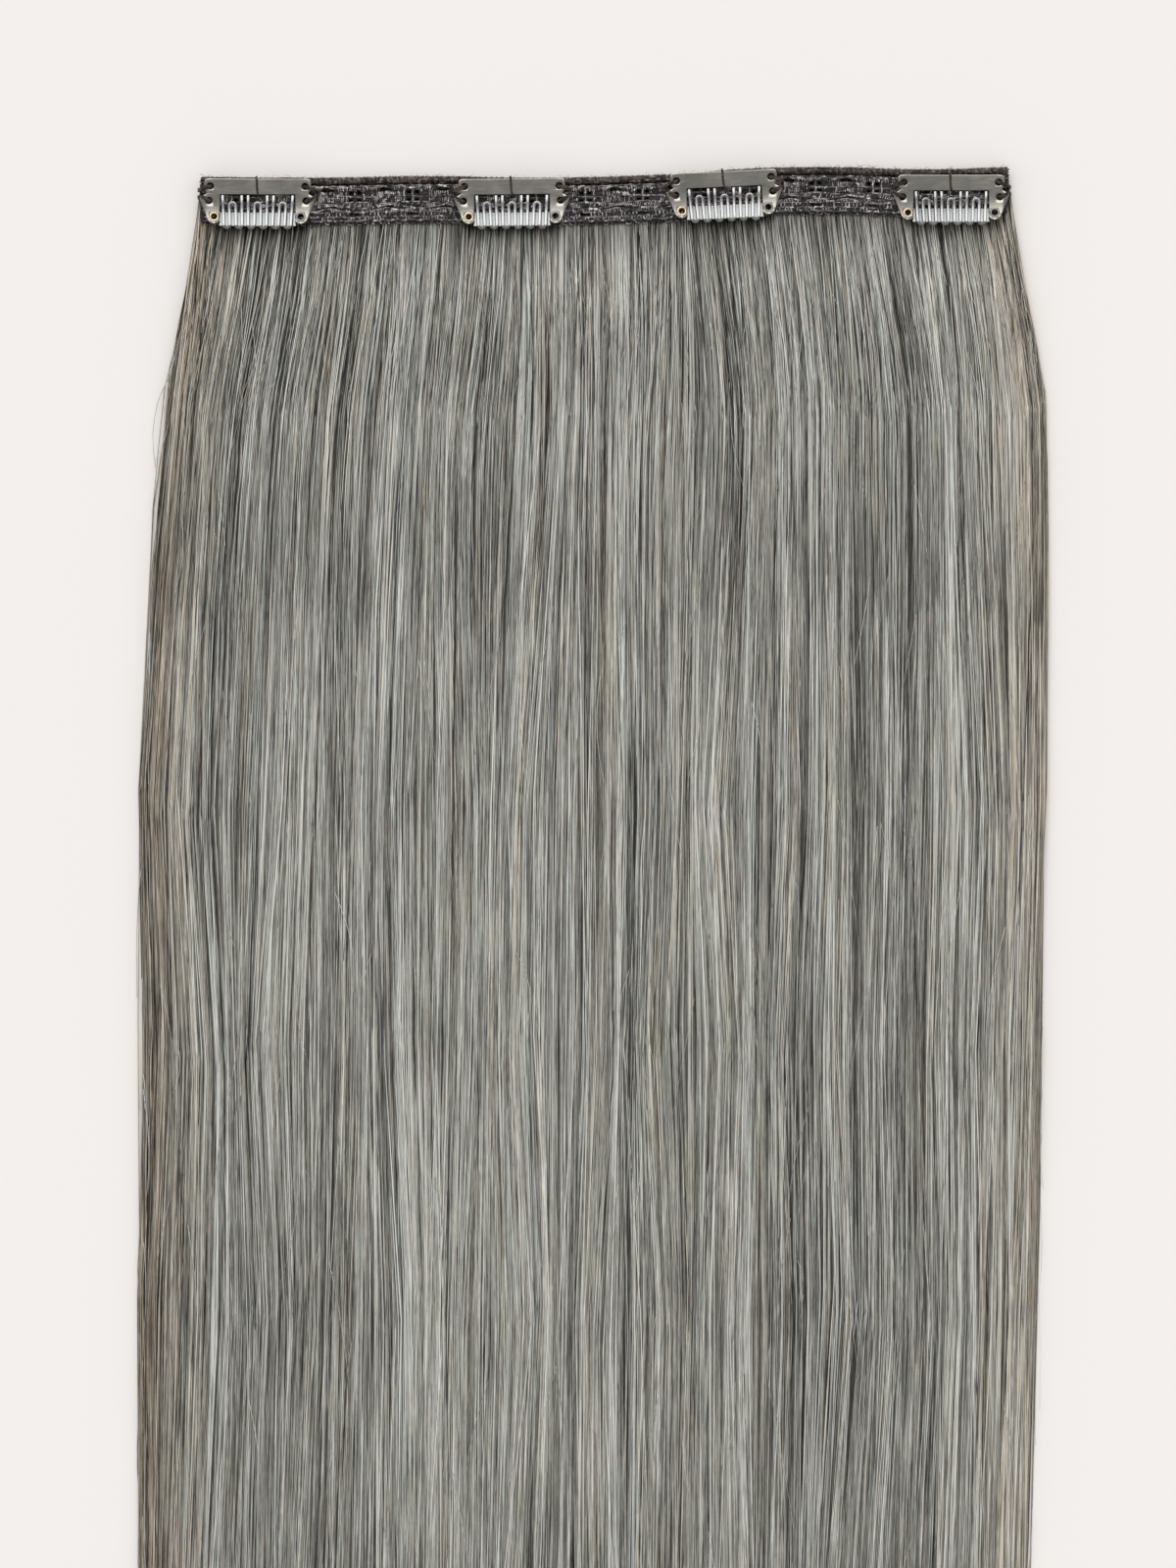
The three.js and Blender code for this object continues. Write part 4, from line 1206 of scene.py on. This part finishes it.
def lace_cords():
    """The lace's long cords: wavy lines along the band that pass above and below its holes."""
    rows = 640
    cords = np.array(LACE_CORDS)[:, :, None]
    down, sway, waves, shift, radius = (cords[:, i] for i in range(5))
    x = np.linspace(LACE_START + 0.3, LACE_HIGH[0] - 0.3, rows)[None, :] + 0 * down
    share = np.linspace(0, 1, rows)[None, :] + 0 * down
    which = np.linspace(0, 1, len(cords))[:, None] + 0 * x
    line = down + sway * np.sin(2 * np.pi * waves * (x - LACE_START) / LACE_REPEAT + shift)
    line = line + 0.10 * lattice(len(cords), 300, 12)(which, share)
    z = LACE_TOP + radius * 0.55 + 0.10 * np.sin(x * 4.1 + 7 * which)
    thick = radius * (1 + 0.20 * lattice(len(cords), 320, 13)(which, share))
    tone = 0.35 * lattice(len(cords), 260, 16)(which, share)
    paths = np.stack([x, band_top(x) - line, z], -1)
    thread_piece("lace_cords", paths, thick, 5, "lace", LACE, flatten=0.85, tone=tone)


def lace_stitches():
    """The lace's worked parts: short slanted stitches in rows, left out over the holes, and posts between
    the paired holes."""
    rng = np.random.default_rng(14)
    steps = np.linspace(-0.5, 0.5, 4)
    paths, radii = [], []
    for down, tall, pitch, slant, first, last in LACE_STITCHES:
        x = np.arange(LACE_START + 0.6, LACE_HIGH[0] - 0.6, pitch)
        x = x + rng.uniform(-0.09, 0.09, len(x))
        middle = down + rng.uniform(-0.12, 0.12, len(x))
        along = (x - LACE_START) / LACE_REPEAT
        keep = ~in_hole(x, middle) & ((along - first) % 1 < last - first)
        x, middle = x[keep], middle[keep]
        lean = slant + rng.normal(0, 0.10, len(x))
        px = x[:, None] + lean[:, None] * tall * steps
        py = band_top(px) - (middle[:, None] + tall * steps)
        pz = LACE_TOP + 0.10 + 0.16 * np.cos(np.pi * steps)[None] + rng.uniform(-0.05, 0.08, len(x))[:, None]
        paths.append(np.stack([px, py, pz], -1))
        radii.append(rng.uniform(0.19, 0.27, len(x))[:, None] * (1 - 0.2 * np.abs(2 * steps)[None]))
    repeats = np.arange(LACE_REPEATS)[:, None] + np.array(LACE_POSTS)[None]
    x = (LACE_START + LACE_REPEAT * repeats).reshape(-1, 1) + 0.12 * np.sin(9 * steps)[None]
    py = band_top(x) - (5.5 + 3.7 * steps)[None]
    paths.append(np.stack([x, py, np.full_like(x, LACE_TOP + 0.16)], -1))
    radii.append(np.full(x.shape, 0.25))
    paths, radii = np.concatenate(paths), np.concatenate(radii)
    tone = rng.uniform(-0.75, 0.55, len(paths))[:, None]
    thread_piece("lace_stitches", paths, radii, 4, "lace", LACE, start_turn=np.pi / 4, tone=tone)


def lace_loops():
    """The scalloped lower edge: a row of small thread loops hanging from the lowest cord."""
    rng = np.random.default_rng(15)
    pitch = 2.2
    starts = np.arange(LACE_START + 1.6, LACE_HIGH[0] - 1.6, pitch)
    starts = starts + rng.uniform(-0.25, 0.25, len(starts))
    turn = np.linspace(-0.15, np.pi + 0.15, 11)
    wide = rng.uniform(0.7, 1.05, len(starts))[:, None]
    tall = rng.uniform(0.7, 1.25, len(starts))[:, None]
    x = starts[:, None] - wide * np.cos(turn)
    down = 12.2 + tall * np.sin(turn)
    z = LACE_TOP - 0.35 + 0.25 * np.cos(turn) - 0.25 * np.sin(turn) + 0 * x
    thread_piece("lace_loops", np.stack([x, band_top(x) - down, z], -1), 0.15, 5, "lace", LACE)


def smooth_line(points, rows=20):
    """A smooth path through a few points: Catmull-Rom between them."""
    points = np.asarray(points, dtype=float)
    padded = np.concatenate([points[:1] * 2 - points[1:2], points, points[-1:] * 2 - points[-2:-1]])
    t = np.linspace(0, len(points) - 1 - 1e-9, rows)
    i = t.astype(int)
    f = (t - i)[:, None]
    a, b, c, d = (padded[i + k] for k in range(4))
    return 0.5 * (2 * b + (c - a) * f + (2 * a - 5 * b + 4 * c - d) * f**2 + (3 * b - a - 3 * c + d) * f**3)


def sewing_threads(number_frame):
    """The threads that tie a clip to the band. At each end a bundle comes out of each of the two sewing
    holes and runs to one place beside the notch, and one thread crosses the middle of the bar."""
    number, base, across, up = number_frame
    rng = np.random.default_rng(40 + number)
    plate_top = PLATE_LEVEL + PLATE_WALL
    lace = -0.15
    paths = []
    for side in (-1, 1):
        middle_y = (SEW_HOLES[0][1] + SEW_HOLES[1][1]) / 2
        for inset, y in SEW_HOLES:
            hole_x = side * (EAR_TIP - inset)
            knot_x, knot_y = side * (EAR_TIP - 0.15), middle_y + 0.5 * (y - middle_y)
            for _ in range(11):
                a, b, c, d, e, f = rng.uniform(-0.48, 0.48, 6)
                rise = rng.uniform(0.12, 0.55)
                top = plate_top + bow(hole_x)
                over_x = hole_x * 0.42 + knot_x * 0.58 + c * 0.5
                over_y = y * 0.45 + knot_y * 0.55 + d
                out_x = knot_x + side * 0.55
                points = [
                    (hole_x - side * 0.35 + a * 0.5, y + (y - knot_y) * 0.12 + b * 0.5, lace + 0.3),
                    (hole_x - side * 0.1 + a * 0.5, y + b * 0.5, top + 0.05),
                    (over_x, over_y, top + rise + curl(over_y)),
                    (knot_x - side * 0.3 + e * 0.4, knot_y + f * 0.7, top + 0.1),
                    (out_x + e * 0.3, knot_y + f * 0.9, lace + 0.3),
                    (out_x + e * 0.2, knot_y + f * 0.9, lace - 0.5),
                    (knot_x - side * 0.3, knot_y + f, lace - 1.0),
                ]
                paths.append(smooth_line(points))
    for shift in (-0.12, 0.14):
        lean = 0.45
        x = -0.35 + shift
        height = plate_top + 0.18
        points = [
            (x, PLATE_TOP + 0.75, lace + 0.2),
            (x + 0.05, PLATE_TOP + 0.32, height - 0.15),
            (x + 0.1, PLATE_TOP - 0.4, height),
            (x + lean * 0.4, WINDOW_TOP + 1.6, height + 0.03),
            (x + lean * 0.8, WINDOW_TOP + 0.35, height - 0.03),
            (x + lean, WINDOW_TOP + 0.02, height - 0.5),
            (x + lean + 0.05, WINDOW_TOP + 0.3, lace + 0.2),
        ]
        paths.append(smooth_line(points))
    paths = np.array(paths)
    radii = rng.uniform(0.17, 0.24, len(paths))[:, None]
    thread_piece(f"clip_{number}_sewing", on_clip(paths, base, across, up), radii, 5, "seam", SEWING)


def dress_lace_band():
    """The material of the lace's pierced ribbon, the one CAD node that stays as it is.
    Its nearly black colour is painted shade: it shows in the gaps between the stitches over it.
    """
    materials = frame["nodes"]["lace_band"].data.materials
    materials.clear()
    materials.append(LACE_GROUND)


# Stage


def photo_place(pixel_x, pixel_y):
    """A place on the table, in millimetres, from a place in the photograph."""
    return (pixel_x - BAND_MIDDLE_PIXEL) / PIXELS_PER_MM, TOP - (pixel_y - BAND_TOP_PIXEL) / PIXELS_PER_MM


def stage_camera():
    """The camera, straight above the photograph's middle."""
    x, y = photo_place(*PHOTO_MIDDLE)
    data = bpy.data.cameras.new("camera")
    data.sensor_width = SENSOR
    data.lens = SENSOR * CAMERA_HEIGHT / (PHOTO_HEIGHT / PIXELS_PER_MM)
    data.clip_start, data.clip_end = 0.01, 20.0
    camera = bpy.data.objects.new("camera", data)
    camera.location = (x * MM, y * MM, (CAMERA_HEIGHT + BAND_RISE) * MM)
    bpy.context.collection.objects.link(camera)
    bpy.context.scene.camera = camera


def stage_light():
    """One very large soft lamp, far away, high above the clips' end, and a plain world."""
    data = bpy.data.lights.new("soft lamp", "SUN")
    data.angle = math.radians(LAMP_SPREAD)
    data.energy = LAMP_STRENGTH
    lamp = bpy.data.objects.new("soft lamp", data)
    lamp.location = (0, 1, 2)
    lamp.rotation_euler = (math.radians(-LAMP_SLANT), math.radians(LAMP_SIDE), 0)
    bpy.context.collection.objects.link(lamp)
    world = bpy.data.worlds.new("studio")
    world.use_nodes = True
    world.node_tree.nodes["Background"].inputs["Color"].default_value = (1.0, 1.0, 1.0, 1)
    world.node_tree.nodes["Background"].inputs["Strength"].default_value = WORLD_STRENGTH
    bpy.context.scene.world = world
    bpy.context.scene.view_settings.view_transform = "Standard"


def stage_table():
    """A pale table top, a little below the weft."""
    mesh = bpy.data.meshes.new("table")
    reach, height = 6.0, -FLOOR_DROP * MM
    corners = [(x * reach, y * reach, height) for x, y in ((-1, -1), (1, -1), (1, 1), (-1, 1))]
    mesh.from_pydata(corners, [], [(0, 1, 2, 3)])
    table = bpy.data.objects.new("table", mesh)
    made, nodes, shader = material("pale table", specular=0.1)
    place = nodes.add("ShaderNodeTexCoord").outputs["Object"]
    soft = nodes.noise(nodes.scaled(place, (3, 3, 3)), 1.0)
    darker = tuple(0.995 * c for c in TABLE_COLOUR)
    nodes.link(nodes.mix(soft, TABLE_COLOUR, darker), shader.inputs["Base Color"])
    shader.inputs["Roughness"].default_value = 0.9
    mesh.materials.append(made)
    bpy.context.collection.objects.link(table)


stage_camera()
stage_table()
stage_light()

hair_body()
hair_under()
# The deep strands lie lowest: dull=0.35 gives them extra painted shade.
hair_strands("hair_deep", 1100, 31, 0.016, 0.985, 0.22, (-1.7, -0.7), rows=7, dull=0.35)
for layer in range(4):
    hair_strands(f"hair_layer_{layer + 1}", 1900, 32 + layer, 0.018, 1.0, 0.16, (-0.95, 0.25))
hair_strands("hair_roots", 2850, 37, 0.018, 0.27, 0.12, (-0.5, 0.45), wild=2.2, contrast=1.7)
stray_hairs()

dress_lace_band()
seam_core()
seam_cords()
seam_whipping()
end_bindings()
thread_fuzz()
lace_cords()
lace_stitches()
lace_loops()

SHEETS = (plate_sheet(), strip_sheet())
for clip in clip_frames():
    clip_pieces(SHEETS, clip)
    sewing_threads(clip)
